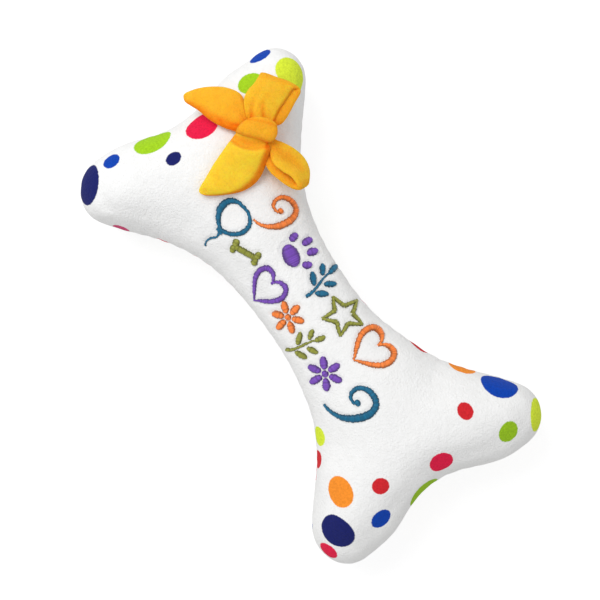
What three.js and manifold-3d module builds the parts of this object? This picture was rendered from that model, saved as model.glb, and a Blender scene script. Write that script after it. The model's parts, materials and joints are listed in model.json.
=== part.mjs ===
// A stuffed dog toy in the shape of a bone. Two plush panels are sewn edge to edge round fibrefill,
// an air-bulb squeaker sits in the shaft, and a knotted fleece bow is tacked to one knuckle.
// Millimetres, +Z up, +X along the bone. The origin is the middle of the footprint, on the surface
// that the toy lies on, and the bow and the embroidered face look up.

import * as THREE from "three";
import { mergeVertices } from "three/addons/utils/BufferGeometryUtils.js";
import Module from "manifold-3d";

const wasm = await Module();
wasm.setup();

const degrees = THREE.MathUtils.degToRad;
const mix = THREE.MathUtils.lerp;
const ease = (share) => THREE.MathUtils.smoothstep(share, 0, 1);
const quarterTurn = Math.PI / 2;

// Driving dimensions of the sewn and stuffed bone
const boneLength = 231;
const boneSpread = 127;
const waistRadius = 22.8;
const endHalfThickness = 28;
const knuckleHalfThickness = 25;
const knuckleRadius = 16.7;
const notchDepth = 9.3;
const restFlatDepth = 0.5;

// Handles of the outline's curves and the ends of the knuckle's arc
const waistHandle = 56;
const flareHandle = 26;
const cheekHandle = 25;
const notchHandle = 20.5;
const knuckleArcStart = degrees(125);
const knuckleArcEnd = degrees(2);

// The ridge line that the crown follows: along the shaft to a junction, then out to each knuckle
const junctionInset = 37.5;
const crownInsetX = 28.5;
const crownInsetY = 29.5;

// Cloth, seam and the running clearance between pieces
const plushThickness = 2;
const seamGap = 0.3;
const allowanceThickness = 1.4;
const allowanceWidth = 5;
const clearance = 0.45;
const cutOverrun = 4;

// Steps round the outline and up the side
const shaftSteps = 7;
const branchSteps = 5;
const tipSteps = 6;
const crownSteps = 6;
const flareShare = 0.5;
const probeStep = 4;
const weldTolerance = 1e-3;

// Stabiliser sheet behind the embroidery
const stabiliserThickness = 0.6;
const stabiliserLength = 124;
const stabiliserCrownSteps = 4;

// Fibrefill wads
const shaftWadLength = 120;

// Squeaker: a blown bulb with a neck, and a reed held in a plug
const bulbRadius = 12.5;
const bulbHalfLength = 15;
const bulbWall = 1.2;
const neckRadius = 5.4;
const neckLength = 6;
const plugDepth = 13;
const plugFit = 0.3;
const plugFlangeThickness = 1.2;
const plugFlangeLip = 0.8;
const airChannelWidth = 2.2;
const airChannelDepth = 2;
const reedLength = 10;
const reedWidth = 3.4;
const reedThickness = 0.25;
const reedRootLength = 3.5;
const reedSeat = 0.3;
const roundSides = 20;
const bulbArcSteps = 9;

// Bow: where it is tacked, and the sewn fleece band that it is tied from
const bowInsetX = 35.8;
const bowInsetY = 38.3;
const bandThickness = 3;
const bandSides = 12;
const bandCornerPower = 0.55;
const gatheredWidth = 11.5;
const gatheredThickness = 1.5;
const rootRounding = 1.6;
const tailBellyShare = 0.42;
const tailTaperPower = 0.8;
const tipThinningPower = 6;
const loopFullShare = 0.62;
const loopRolledShare = 0.7;
const loopOpenShare = 0.5;
const tailStationShares = [0.02, 0.06, 0.12, 0.22, 0.32, 0.42, 0.52, 0.62, 0.72, 0.81, 0.89, 0.95, 0.985];
const loopStationShares = [0.03, 0.1, 0.2, 0.34, 0.5, 0.66, 0.83, 1];
const foldSteps = 6;
const settleSteps = 16;
const flapGap = 0.6;
const flapRestGap = 0.9;
const knotLength = 15;
const knotWidth = 12;
const knotHeight = 10.4;
const knotTurn = degrees(26);
const knotBoxiness = 3;
const knotSides = 20;
const knotRings = 12;
const tackThreadRadius = 0.6;
const tackSpan = 5;
const tackRise = 2.2;
const tackReach = 4;
const tackCorner = 1.3;
const tackSteps = 30;
const threadSides = 8;

// The four free ends of the bow. Angles are seen from above, counted from +X. Each end falls until
// it lies on the plush, or by its own most droop where there is nothing under it.
const upperLoop = {
  angle: degrees(125),
  reach: 28,
  rise: 0.8,
  roll: degrees(-16),
  opening: 1.2,
  width: 18.5,
  mostDroop: degrees(40),
};
const rightLoop = {
  angle: degrees(3),
  reach: 30,
  rise: 1,
  roll: degrees(-48),
  opening: 1.6,
  width: 18.5,
  mostDroop: degrees(40),
};
const leftTail = {
  angle: degrees(207.6),
  reach: 39.5,
  bulge: -3,
  rise: 1,
  width: 17,
  mostDroop: degrees(40),
};
const lowerTail = {
  angle: degrees(-79.5),
  reach: 38.6,
  bulge: 4.2,
  rise: 1.6,
  width: 19.5,
  mostDroop: degrees(40),
};

const halfLength = boneLength / 2;
const halfSpread = boneSpread / 2;
const midHeight = endHalfThickness - restFlatDepth;
const knuckleCentre = new THREE.Vector2(halfLength - knuckleRadius, halfSpread - knuckleRadius);
const junction = new THREE.Vector2(halfLength - junctionInset, 0);
const crown = new THREE.Vector2(halfLength - crownInsetX, halfSpread - crownInsetY);
const bowX = bowInsetX - halfLength;
const bowY = halfSpread - bowInsetY;
const neckBore = neckRadius - bulbWall;
const plugRadius = neckBore - plugFit;

// Solids and geometries

// The faces of a strip of rings. A ring is a closed list of points, and where one closes onto a
// line or a point, the faces that have no area are left out later.
function stripCorners(rings) {
  return rings.slice(1).flatMap((upper, row) => {
    const lower = rings[row];
    return lower.flatMap((a, i) => {
      const next = (i + 1) % lower.length;
      return [a, upper[i], upper[next], a, upper[next], lower[next]];
    });
  });
}

// One closed geometry from strips whose faces look out and strips whose faces look in.
function closedSurface(outside, inside = []) {
  const inward = inside.flatMap(stripCorners).reverse();
  return closedTriangles([...outside.flatMap(stripCorners), ...inward]);
}

// Merges the corners of a triangle list, drops flat triangles and turns the faces out.
function closedTriangles(corners) {
  const positions = new Float32Array(corners.flatMap((p) => [p.x, p.y, p.z]));
  const loose = new THREE.BufferGeometry();
  loose.setAttribute("position", new THREE.BufferAttribute(positions, 3));
  const merged = mergeVertices(loose, weldTolerance);
  const index = merged.index.array;
  const kept = [];
  for (let i = 0; i < index.length; i += 3) {
    const [a, b, c] = index.slice(i, i + 3);
    if (a !== b && b !== c && c !== a) kept.push([a, b, c]);
  }
  const at = (i) => new THREE.Vector3().fromBufferAttribute(merged.attributes.position, i);
  const volume = kept.reduce((sum, [a, b, c]) => sum + at(a).dot(at(b).cross(at(c))), 0);
  merged.setIndex(kept.flatMap(([a, b, c]) => (volume > 0 ? [a, b, c] : [a, c, b])));
  return merged;
}

function solidOf(geometry) {
  const bare = geometry.clone();
  bare.deleteAttribute("normal");
  bare.deleteAttribute("uv");
  const merged = mergeVertices(bare, weldTolerance);
  return new wasm.Manifold(
    new wasm.Mesh({
      numProp: 3,
      vertProperties: merged.attributes.position.array,
      triVerts: new Uint32Array(merged.index.array),
    }),
  );
}

function geometryOf(solid) {
  const mesh = solid.getMesh();
  const geometry = new THREE.BufferGeometry();
  geometry.setAttribute("position", new THREE.BufferAttribute(mesh.vertProperties, 3));
  geometry.setIndex(new THREE.BufferAttribute(mesh.triVerts, 1));
  return geometry;
}

// A box between two corners, for trimming and for pockets.
function block(low, high) {
  const size = high.clone().sub(low);
  const centre = low.clone().add(high).divideScalar(2);
  const geometry = new THREE.BoxGeometry(size.x, size.y, size.z);
  geometry.translate(centre.x, centre.y, centre.z);
  return solidOf(geometry);
}

// The bone's outline, in rays from the seam in to the crown

const knucklePoint = (angle) =>
  new THREE.Vector2(Math.cos(angle), Math.sin(angle)).multiplyScalar(knuckleRadius).add(knuckleCentre);
const clockwise = (angle) => new THREE.Vector2(Math.sin(angle), -Math.cos(angle));

const flare = new THREE.CubicBezierCurve(
  new THREE.Vector2(0, waistRadius),
  new THREE.Vector2(waistHandle, waistRadius),
  knucklePoint(knuckleArcStart).addScaledVector(clockwise(knuckleArcStart), -flareHandle),
  knucklePoint(knuckleArcStart),
);
const cheek = new THREE.CubicBezierCurve(
  knucklePoint(knuckleArcEnd),
  knucklePoint(knuckleArcEnd).addScaledVector(clockwise(knuckleArcEnd), cheekHandle),
  new THREE.Vector2(halfLength - notchDepth, notchHandle),
  new THREE.Vector2(halfLength - notchDepth, 0),
);

// One quarter of the rays. Each has its seam point, its crown point and the half thickness there.
function quarterRays() {
  const rays = [];
  const branch = (share) => ({
    core: junction.clone().lerp(crown, share),
    half: mix(endHalfThickness, knuckleHalfThickness, ease(share)),
  });
  for (let i = 0; i < shaftSteps; i++) rays.push(shaftRay(i / shaftSteps));
  for (let i = 0; i < branchSteps; i++) {
    const share = i / branchSteps;
    rays.push({ edge: flare.getPoint(mix(flareShare, 1, share)), ...branch(share) });
  }
  for (let i = 0; i < tipSteps; i++) {
    rays.push({ edge: knucklePoint(mix(knuckleArcStart, knuckleArcEnd, i / tipSteps)), ...branch(1) });
  }
  for (let i = 0; i <= branchSteps; i++) {
    rays.push({ edge: cheek.getPoint(i / branchSteps), ...branch(1 - i / branchSteps) });
  }
  return rays;
}

// A ray of the shaft, at a share of the way from the waist to the junction.
function shaftRay(share) {
  return {
    edge: flare.getPoint(flareShare * share),
    core: new THREE.Vector2(junction.x * share, 0),
    half: mix(waistRadius, endHalfThickness, ease(share)),
  };
}

function mirrored(ray, signX, signY) {
  const sign = new THREE.Vector2(signX, signY);
  return { edge: ray.edge.clone().multiply(sign), core: ray.core.clone().multiply(sign), half: ray.half };
}

// The whole outline, clockwise from the waist.
function allRays() {
  const quarter = quarterRays();
  const inner = quarter.slice(1, -1);
  const backwards = inner.slice().reverse();
  const [waist, notch] = [quarter[0], quarter.at(-1)];
  return [
    waist,
    ...inner,
    notch,
    ...backwards.map((ray) => mirrored(ray, 1, -1)),
    mirrored(waist, 1, -1),
    ...inner.map((ray) => mirrored(ray, -1, -1)),
    mirrored(notch, -1, 1),
    ...backwards.map((ray) => mirrored(ray, -1, 1)),
  ];
}

const rays = allRays();

// A point of the skin that lies a depth inside the cloth's outer face. The rise goes from 0 at the
// seam to a quarter turn at the crown, and the side is a quarter of an ellipse that starts at low.
function skinPoint(ray, depth, low, rise) {
  const start = depth / ray.edge.distanceTo(ray.core);
  const plan = ray.edge.clone().lerp(ray.core, mix(start, 1, 1 - Math.cos(rise)));
  return new THREE.Vector3(plan.x, plan.y, mix(low, ray.half - depth, Math.sin(rise)));
}

const skinRing = (depth, low, rise) => rays.map((ray) => skinPoint(ray, depth, low, rise));
const flatRing = (depth, z) => rays.map((ray) => skinPoint(ray, depth, z, 0));

function skinRings(depth, low) {
  return Array.from({ length: crownSteps + 1 }, (_, i) =>
    skinRing(depth, low, (quarterTurn * i) / crownSteps),
  );
}

const flip = (ring) => ring.map((p) => new THREE.Vector3(p.x, p.y, -p.z));
const seamLevel = seamGap / 2;
const allowanceLevel = seamLevel + allowanceThickness;
const outerRings = skinRings(0, seamLevel);

// A plush panel with its seam allowance turned in, as the front lies: open side down. The back one
// is turned over by flip.
function panelSolid(place) {
  const reach = plushThickness + allowanceWidth;
  const allowance = [outerRings[0], flatRing(reach, seamLevel), flatRing(reach, allowanceLevel)];
  const lining = [...allowance, ...skinRings(plushThickness, allowanceLevel)];
  return solidOf(closedSurface([outerRings.map(place)], [lining.map(place)]));
}

// The fibrefill as one mass, with a groove that leaves room for the seam allowances.
function fillSolid() {
  const depth = plushThickness + clearance;
  const level = allowanceLevel + clearance;
  const half = [flatRing(depth + allowanceWidth, level), ...skinRings(depth, level)];
  const under = half.map(flip);
  return solidOf(closedSurface([[under[0], ...half]], [under]));
}

// The faces of the front panel's outer side, each with its reach in plan.
const skinFaces = outerRings.slice(1).flatMap((upper, row) => {
  const lower = outerRings[row];
  return lower.flatMap((a, i) => {
    const next = (i + 1) % lower.length;
    return [[a, upper[i], upper[next]], [a, upper[next], lower[next]]].map((corners) => ({
      corners,
      plan: corners.map((p) => new THREE.Vector3(p.x, p.y, 0)),
      reach: new THREE.Box2().setFromPoints(corners),
    }));
  });
});

// Height of the front panel's outer face above the bone's middle, at a place seen from above.
// Past the edge of the bone there is none, and it is endlessly low.
function skinHeight(x, y) {
  const place = new THREE.Vector3(x, y, 0);
  const weights = new THREE.Vector3();
  let height = -Infinity;
  for (const { corners, plan, reach } of skinFaces) {
    if (!reach.containsPoint(place)) continue;
    if (!THREE.Triangle.getBarycoord(place, ...plan, weights)) continue;
    if (Math.min(weights.x, weights.y, weights.z) < 0) continue;
    height = Math.max(height, weights.dot(new THREE.Vector3(...corners.map((p) => p.z))));
  }
  return height;
}

// Direction straight out of the front panel at a place seen from above.
function skinNormal(x, y) {
  const slope = (ahead, behind) => (ahead - behind) / (2 * probeStep);
  const slopeX = slope(skinHeight(x + probeStep, y), skinHeight(x - probeStep, y));
  const slopeY = slope(skinHeight(x, y + probeStep), skinHeight(x, y - probeStep));
  return new THREE.Vector3(-slopeX, -slopeY, 1).normalize();
}

// A curved sheet under the shaft's crown, between two depths, over a share of the rays and rises.
function crownSheet(outerDepth, innerDepth, shares, rises) {
  const upper = rises.map((rise) => [1, rise]);
  const lower = rises.slice(0, -1).reverse().map((rise) => [-1, rise]);
  const sides = [...upper, ...lower];
  const face = (depth) =>
    shares.map((share) =>
      sides.map(([side, rise]) => {
        const ray = mirrored(shaftRay(Math.abs(share)), Math.sign(share) || 1, side);
        return skinPoint(ray, depth, allowanceLevel, rise);
      }),
    );
  const top = face(outerDepth);
  const bottom = face(innerDepth);
  // Each row becomes a ring: out along the top and back along the bottom. The end rows close it.
  const corners = stripCorners(top.map((row, i) => [...row, ...bottom[i].slice().reverse()]));
  const cap = (t, b, turn) => {
    for (let i = 1; i < t.length; i++) {
      const quad = [t[i - 1], t[i], b[i], t[i - 1], b[i], b[i - 1]];
      corners.push(...(turn ? quad.reverse() : quad));
    }
  };
  cap(top[0], bottom[0], false);
  cap(top.at(-1), bottom.at(-1), true);
  return closedTriangles(corners);
}

const range = (from, to, steps) => Array.from({ length: steps + 1 }, (_, i) => mix(from, to, i / steps));

function stabiliserSheet(depth, thickness, margin) {
  const endShare = (stabiliserLength / 2 + margin) / junction.x;
  const shares = [
    -endShare,
    ...range(-1, 1, 2 * shaftSteps).filter((share) => Math.abs(share) < endShare),
    endShare,
  ];
  const lowRise = quarterTurn * (1 - stabiliserCrownSteps / crownSteps);
  const rises = range(lowRise, quarterTurn, stabiliserCrownSteps);
  rises[0] -= margin / waistRadius;
  return crownSheet(depth, depth + thickness, shares, rises);
}

// Squeaker, along +X

const bulbNeckAngle = Math.acos(neckRadius / bulbRadius);
const neckStart = bulbHalfLength * Math.sin(bulbNeckAngle);
const neckEnd = neckStart + neckLength;

// Half of the bulb's section, from its closed end to the end of its neck.
function bulbProfile(inset) {
  const radius = bulbRadius - inset;
  const half = bulbHalfLength - inset;
  const neck = neckRadius - inset;
  const neckAngle = Math.acos(neck / radius);
  const arc = range(-quarterTurn, neckAngle, bulbArcSteps);
  const points = arc.map((angle) => new THREE.Vector2(radius * Math.cos(angle), half * Math.sin(angle)));
  points[0].x = 0;
  points.push(new THREE.Vector2(neck, neckEnd));
  return points;
}

function turned(profile) {
  return new THREE.LatheGeometry(profile, roundSides).rotateZ(-quarterTurn);
}

const bulbGeometry = () => turned([...bulbProfile(0), ...bulbProfile(bulbWall).reverse()]);

// The room that the squeaker takes up among the fibrefill.
function squeakerPocket() {
  const grown = bulbProfile(-clearance);
  const flangeRadius = neckRadius + plugFlangeLip + clearance;
  const flangeFace = neckEnd - clearance;
  const far = neckEnd + plugFlangeThickness + clearance;
  grown.pop();
  return solidOf(
    turned([
      ...grown,
      new THREE.Vector2(neckRadius + clearance, flangeFace),
      new THREE.Vector2(flangeRadius, flangeFace),
      new THREE.Vector2(flangeRadius, far),
      new THREE.Vector2(0, far),
    ]),
  );
}

// A round bar along X between two stations.
function bar(radius, from, to) {
  const geometry = new THREE.CylinderGeometry(radius, radius, to - from, roundSides);
  return solidOf(geometry.rotateZ(-quarterTurn).translate((from + to) / 2, 0, 0));
}

const plugInnerEnd = neckEnd - plugDepth;
const clampEnd = neckEnd - reedRootLength;
const reedMid = reedSeat + reedThickness / 2;

// Lower half of the reed plug with its flange and the air channel under the reed.
function plugSolid() {
  const flange = bar(neckRadius + plugFlangeLip, neckEnd + reedSeat, neckEnd + plugFlangeThickness);
  const aboveSeat = block(
    new THREE.Vector3(plugInnerEnd - cutOverrun, -bulbRadius, 0),
    new THREE.Vector3(neckEnd + reedSeat, bulbRadius, bulbRadius),
  );
  const channel = block(
    new THREE.Vector3(plugInnerEnd - cutOverrun, -airChannelWidth / 2, -airChannelDepth),
    new THREE.Vector3(neckEnd + cutOverrun, airChannelWidth / 2, reedMid),
  );
  const body = bar(plugRadius, plugInnerEnd, neckEnd + plugFlangeThickness);
  return body.add(flange).subtract(aboveSeat).subtract(channel);
}

// Upper half of the plug, which presses on the root of the reed.
function clampSolid() {
  const seat = 2 * reedSeat + reedThickness;
  return bar(plugRadius, clampEnd, neckEnd - reedSeat).intersect(
    block(
      new THREE.Vector3(plugInnerEnd, -bulbRadius, seat),
      new THREE.Vector3(neckEnd, bulbRadius, bulbRadius),
    ),
  );
}

function reedGeometry() {
  const root = neckEnd - 2 * reedSeat;
  return new THREE.BoxGeometry(reedLength, reedWidth, reedThickness).translate(
    root - reedLength / 2,
    0,
    reedMid,
  );
}

// Bow, in its own frame: the origin is the tack point on the plush, and +Z is the plush's normal

const bowSeat = new THREE.Object3D();
bowSeat.position.set(bowX, bowY, skinHeight(bowX, bowY));
bowSeat.quaternion.setFromUnitVectors(new THREE.Vector3(0, 0, 1), skinNormal(bowX, bowY));
bowSeat.updateMatrix();
const knotMid = clearance + knotHeight / 2;
const signedPower = (value, power) => Math.sign(value) * Math.abs(value) ** power;

// The tied knot: a cushion whose plan and sides are superellipses.
function knotSolid() {
  const power = 2 / knotBoxiness;
  const ringOf = (rise) => {
    const out = signedPower(Math.cos(rise), power);
    const up = signedPower(Math.sin(rise), power);
    return range(0, 2 * Math.PI, knotSides).slice(0, -1).map((angle) =>
      new THREE.Vector3(
        (knotLength / 2) * out * signedPower(Math.cos(angle), power),
        (knotWidth / 2) * out * signedPower(Math.sin(angle), power),
        (knotHeight / 2) * up,
      ).applyAxisAngle(new THREE.Vector3(0, 0, 1), knotTurn),
    );
  };
  const rises = range(-quarterTurn, quarterTurn, knotRings);
  const rings = rises.map(ringOf);
  rings[0] = rings[0].map(() => new THREE.Vector3(0, 0, -knotHeight / 2));
  rings[rings.length - 1] = rings[0].map((p) => new THREE.Vector3(0, 0, -p.z));
  return solidOf(closedSurface([rings]).translate(0, 0, knotMid));
}

// How far the knot reaches from its middle in a direction: its support, which leaves room for a
// straight edge across that direction.
function knotReach(angle) {
  const turn = angle - knotTurn;
  const along = (knotLength / 2) * Math.abs(Math.cos(turn));
  const across = (knotWidth / 2) * Math.abs(Math.sin(turn));
  const power = knotBoxiness / (knotBoxiness - 1);
  return (along ** power + across ** power) ** (1 / power);
}

// A closed strip of cloth that follows stations, each with a middle, a side direction, a width
// and a thickness. The section is a rounded oblong.
function clothStrip(stations) {
  const rings = stations.map(({ middle, side, width, thickness }, i) => {
    const ahead = stations[Math.min(i + 1, stations.length - 1)].middle;
    const behind = stations[Math.max(i - 1, 0)].middle;
    const along = ahead.clone().sub(behind).normalize();
    const up = along.clone().cross(side).normalize();
    const across = up.clone().cross(along).normalize();
    return range(0, 2 * Math.PI, bandSides).slice(0, -1).map((angle) =>
      middle
        .clone()
        .addScaledVector(across, (width / 2) * signedPower(Math.cos(angle), bandCornerPower))
        .addScaledVector(up, (thickness / 2) * signedPower(Math.sin(angle), bandCornerPower)),
    );
  });
  const cap = (station) => rings[0].map(() => station.middle.clone());
  return closedSurface([[cap(stations[0]), ...rings, cap(stations.at(-1))]]);
}

const outward = (angle) => new THREE.Vector3(Math.cos(angle), Math.sin(angle), 0);
const sideways = (angle) => new THREE.Vector3(-Math.sin(angle), Math.cos(angle), 0);

// The root's end is half round in side view, so that a free end can lift beside the knot.
function rootShare(distance) {
  const share = Math.min(distance / rootRounding, 1);
  return Math.sqrt(1 - (1 - share) ** 2);
}

// Where a free end turns: beside the knot, in the middle of the root's rounding.
const flapHinge = (flap) =>
  outward(flap.angle).multiplyScalar(knotReach(flap.angle) + flapGap + rootRounding).setZ(knotMid);

// Turns a level free end down about its hinge until its lowest point lies on the plush.
function settle(flap, geometry) {
  const hinge = flapHinge(flap);
  const gapAt = (droop) => {
    const turn = new THREE.Quaternion().setFromAxisAngle(sideways(flap.angle), droop);
    const point = new THREE.Vector3();
    const position = geometry.attributes.position;
    let least = Infinity;
    for (let i = 0; i < position.count; i++) {
      point.fromBufferAttribute(position, i).sub(hinge).applyQuaternion(turn).add(hinge);
      point.applyMatrix4(bowSeat.matrix);
      least = Math.min(least, point.z - skinHeight(point.x, point.y));
    }
    return least;
  };
  let [high, low] = [-quarterTurn / 2, flap.mostDroop];
  for (let i = 0; i < settleSteps && gapAt(low) < flapRestGap; i++) {
    const middle = (high + low) / 2;
    if (gapAt(middle) < flapRestGap) low = middle;
    else high = middle;
  }
  const droop = gapAt(low) < flapRestGap ? high : low;
  const turn = new THREE.Matrix4().makeRotationAxis(sideways(flap.angle), droop);
  return geometry
    .translate(-hinge.x, -hinge.y, -hinge.z)
    .applyMatrix4(turn)
    .translate(hinge.x, hinge.y, hinge.z);
}

// A pointed tail: full and leaf shaped, thin at the knot and rounded at its tip.
function tailGeometry(tail) {
  const from = knotReach(tail.angle) + flapGap;
  const length = tail.reach - from;
  const stations = tailStationShares.map((share) => {
    const past = Math.max(0, (share - tailBellyShare) / (1 - tailBellyShare));
    const widening = ease(Math.min(share / tailBellyShare, 1));
    const taper = (1 - past ** 2) ** tailTaperPower;
    return {
      middle: outward(tail.angle)
        .multiplyScalar(from + length * share)
        .addScaledVector(sideways(tail.angle), 4 * tail.bulge * share * (1 - share))
        .setZ(knotMid + tail.rise * Math.sin(Math.PI * share)),
      side: sideways(tail.angle),
      width: mix(gatheredWidth, tail.width, widening) * taper,
      thickness:
        mix(2 * gatheredThickness, bandThickness, widening) *
        rootShare(length * share) *
        Math.sqrt(1 - past ** tipThinningPower),
    };
  });
  return settle(tail, clothStrip(stations));
}

// A loop of the band: out on top, round its fold, and back underneath, rolled about its own axis.
function loopGeometry(loop) {
  const from = knotReach(loop.angle) + flapGap;
  const foldRadius = bandThickness / 2 + loop.opening;
  const straight = loop.reach - from - foldRadius - bandThickness / 2;
  const rootApart = (gatheredThickness + clearance) / 2;
  const leg = loopStationShares.map((share) => [
    share * straight,
    mix(rootApart, foldRadius, ease(Math.min(share / loopOpenShare, 1))),
  ]);
  const fold = range(quarterTurn, -quarterTurn, foldSteps)
    .slice(1, -1)
    .map((angle) => [straight + foldRadius * Math.cos(angle), foldRadius * Math.sin(angle)]);
  const path = [...leg, ...fold, ...leg.slice().reverse().map(([out, up]) => [out, -up])];
  const stations = path.map(([out, up]) => {
    const share = Math.min(out / straight, 1);
    const fullness = ease(Math.min(share / loopFullShare, 1));
    const roll = loop.roll * ease(Math.min(share / loopRolledShare, 1));
    return {
      middle: outward(loop.angle)
        .multiplyScalar(from + out)
        .setZ(knotMid + loop.rise * Math.sin(Math.PI * share))
        .addScaledVector(new THREE.Vector3(0, 0, 1).applyAxisAngle(outward(loop.angle), roll), up),
      side: sideways(loop.angle).applyAxisAngle(outward(loop.angle), roll),
      width: mix(gatheredWidth, loop.width, fullness),
      thickness: mix(gatheredThickness, bandThickness, fullness) * rootShare(out),
    };
  });
  return settle(loop, clothStrip(stations));
}

// The tack: a thread that passes through the knot, down both ways through the plush.
const tackDirection = outward(knotTurn);
const tackTop = knotMid - knotHeight / 2 + tackRise;
const tackFoot = -plushThickness - tackReach;

function tackGeometry() {
  const half = tackSpan / 2;
  const at = (along, z) => tackDirection.clone().multiplyScalar(along).setZ(z);
  const path = new THREE.CurvePath();
  path.add(new THREE.LineCurve3(at(-half, tackFoot), at(-half, tackTop - tackCorner)));
  path.add(new THREE.QuadraticBezierCurve3(
    at(-half, tackTop - tackCorner), at(-half, tackTop), at(tackCorner - half, tackTop)));
  path.add(new THREE.LineCurve3(at(tackCorner - half, tackTop), at(half - tackCorner, tackTop)));
  path.add(new THREE.QuadraticBezierCurve3(
    at(half - tackCorner, tackTop), at(half, tackTop), at(half, tackTop - tackCorner)));
  path.add(new THREE.LineCurve3(at(half, tackTop - tackCorner), at(half, tackFoot)));
  const section = new THREE.Shape().absarc(0, 0, tackThreadRadius, 0, 2 * Math.PI);
  const options = { steps: tackSteps, curveSegments: threadSides / 2, extrudePath: path };
  return new THREE.ExtrudeGeometry(section, options);
}

// The slot that the tack's thread takes through the knot, the plush and the fill below.
function tackSlot() {
  const room = tackThreadRadius + clearance;
  const half = tackSpan / 2 + room;
  const slot = new THREE.BoxGeometry(2 * half, 2 * room, tackTop + room - tackFoot + room);
  slot.translate(0, 0, (tackTop + tackFoot) / 2).rotateZ(knotTurn);
  return solidOf(slot);
}

// Assembly

const toy = new THREE.Group();
const bone = new THREE.Group();
bone.position.z = midHeight;
const squeaker = new THREE.Group();
const bow = new THREE.Group();
bow.position.copy(bowSeat.position);
bow.quaternion.copy(bowSeat.quaternion);
bone.add(squeaker, bow);
toy.add(bone);

const finish = (color, roughness, metalness = 0) => ({ color, roughness, metalness });
const finishes = {
  plush: finish(0xf4f3f1, 0.95),
  fleece: finish(0xfbb024, 0.9),
  fibrefill: finish(0xf7f7f5, 1),
  stabiliser: finish(0xe9e6de, 0.85),
  bulb: finish(0xdfe4e4, 0.4),
  plug: finish(0xf2efe6, 0.35),
  reedFilm: finish(0xb9c4c9, 0.2),
  thread: finish(0xf0a21c, 0.7),
};

function add(parent, name, geometry, look) {
  const mesh = new THREE.Mesh(geometry, new THREE.MeshStandardMaterial(finishes[look]));
  mesh.name = name;
  parent.add(mesh);
}

const inBone = (solid) => solid.transform(bowSeat.matrix.elements);

// Panels: the front has the tack's slot, and the back is trimmed where it rests
const unturned = (ring) => ring;
add(bone, "front_panel", geometryOf(panelSolid(unturned).subtract(inBone(tackSlot()))), "plush");
const aboveRest = block(
  new THREE.Vector3(-boneLength, -boneSpread, -midHeight),
  new THREE.Vector3(boneLength, boneSpread, endHalfThickness),
);
add(bone, "back_panel", geometryOf(panelSolid(flip).intersect(aboveRest)), "plush");

// Stabiliser sheet behind the embroidery
const stabiliserDepth = plushThickness + clearance;
add(bone, "embroidery_stabiliser", stabiliserSheet(stabiliserDepth, stabiliserThickness, 0), "stabiliser");

// Fibrefill: two wads round the squeaker and one in each knuckle
const fill = fillSolid();
const stabiliserRoom = solidOf(
  stabiliserSheet(stabiliserDepth - clearance, stabiliserThickness + 2 * clearance, clearance * 2),
);
const wadEnd = shaftWadLength / 2;
const wadBlock = (x0, x1, y0, y1, z0, z1) =>
  block(new THREE.Vector3(x0, y0, z0), new THREE.Vector3(x1, y1, z1));
const halfGap = clearance / 2;
const shaftWad = (z0, z1) =>
  fill
    .intersect(wadBlock(-wadEnd, wadEnd, -boneSpread, boneSpread, z0, z1))
    .subtract(squeakerPocket())
    .subtract(stabiliserRoom);
add(bone, "shaft_wad_front", geometryOf(shaftWad(halfGap, endHalfThickness)), "fibrefill");
add(bone, "shaft_wad_back", geometryOf(shaftWad(-endHalfThickness, -halfGap)), "fibrefill");
for (const [endName, endSign] of [["left", -1], ["right", 1]]) {
  for (const [sideName, sideSign] of [["upper", 1], ["lower", -1]]) {
    const xs = [endSign * (wadEnd + clearance), endSign * boneLength].sort((a, b) => a - b);
    const ys = [sideSign * halfGap, sideSign * boneSpread].sort((a, b) => a - b);
    const wad = fill
      .intersect(wadBlock(xs[0], xs[1], ys[0], ys[1], -endHalfThickness, endHalfThickness))
      .subtract(inBone(tackSlot()))
      .subtract(stabiliserRoom);
    add(bone, `knuckle_wad_${endName}_${sideName}`, geometryOf(wad), "fibrefill");
  }
}

// Squeaker
add(squeaker, "squeaker_bulb", bulbGeometry(), "bulb");
add(squeaker, "squeaker_reed_plug", geometryOf(plugSolid()), "plug");
add(squeaker, "squeaker_reed_clamp", geometryOf(clampSolid()), "plug");
add(squeaker, "squeaker_reed", reedGeometry(), "reedFilm");

// Bow
add(bow, "bow_knot", geometryOf(knotSolid().subtract(tackSlot())), "fleece");
const flaps = [
  ["bow_loop_upper", upperLoop, loopGeometry],
  ["bow_loop_right", rightLoop, loopGeometry],
  ["bow_tail_left", leftTail, tailGeometry],
  ["bow_tail_lower", lowerTail, tailGeometry],
];
for (const [name, flap, shape] of flaps) {
  add(bow, name, shape(flap), "fleece");
  bow.getObjectByName(name).userData.hinge = { point: flapHinge(flap), axis: sideways(flap.angle) };
}
add(bow, "bow_tack_stitch", tackGeometry(), "thread");

export default toy;
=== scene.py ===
"""A stuffed dog toy in the shape of a bone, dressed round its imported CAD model.

Two plush panels printed with dots, satin-stitched motifs on the front, a tied fleece bow, fibrefill and a
squeaker inside, on a pale table. Lengths in this file are millimetres in the part's own frame, with +X along
the bone, +Z up and the table at height 0, and meshes are made in metres.
"""

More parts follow.
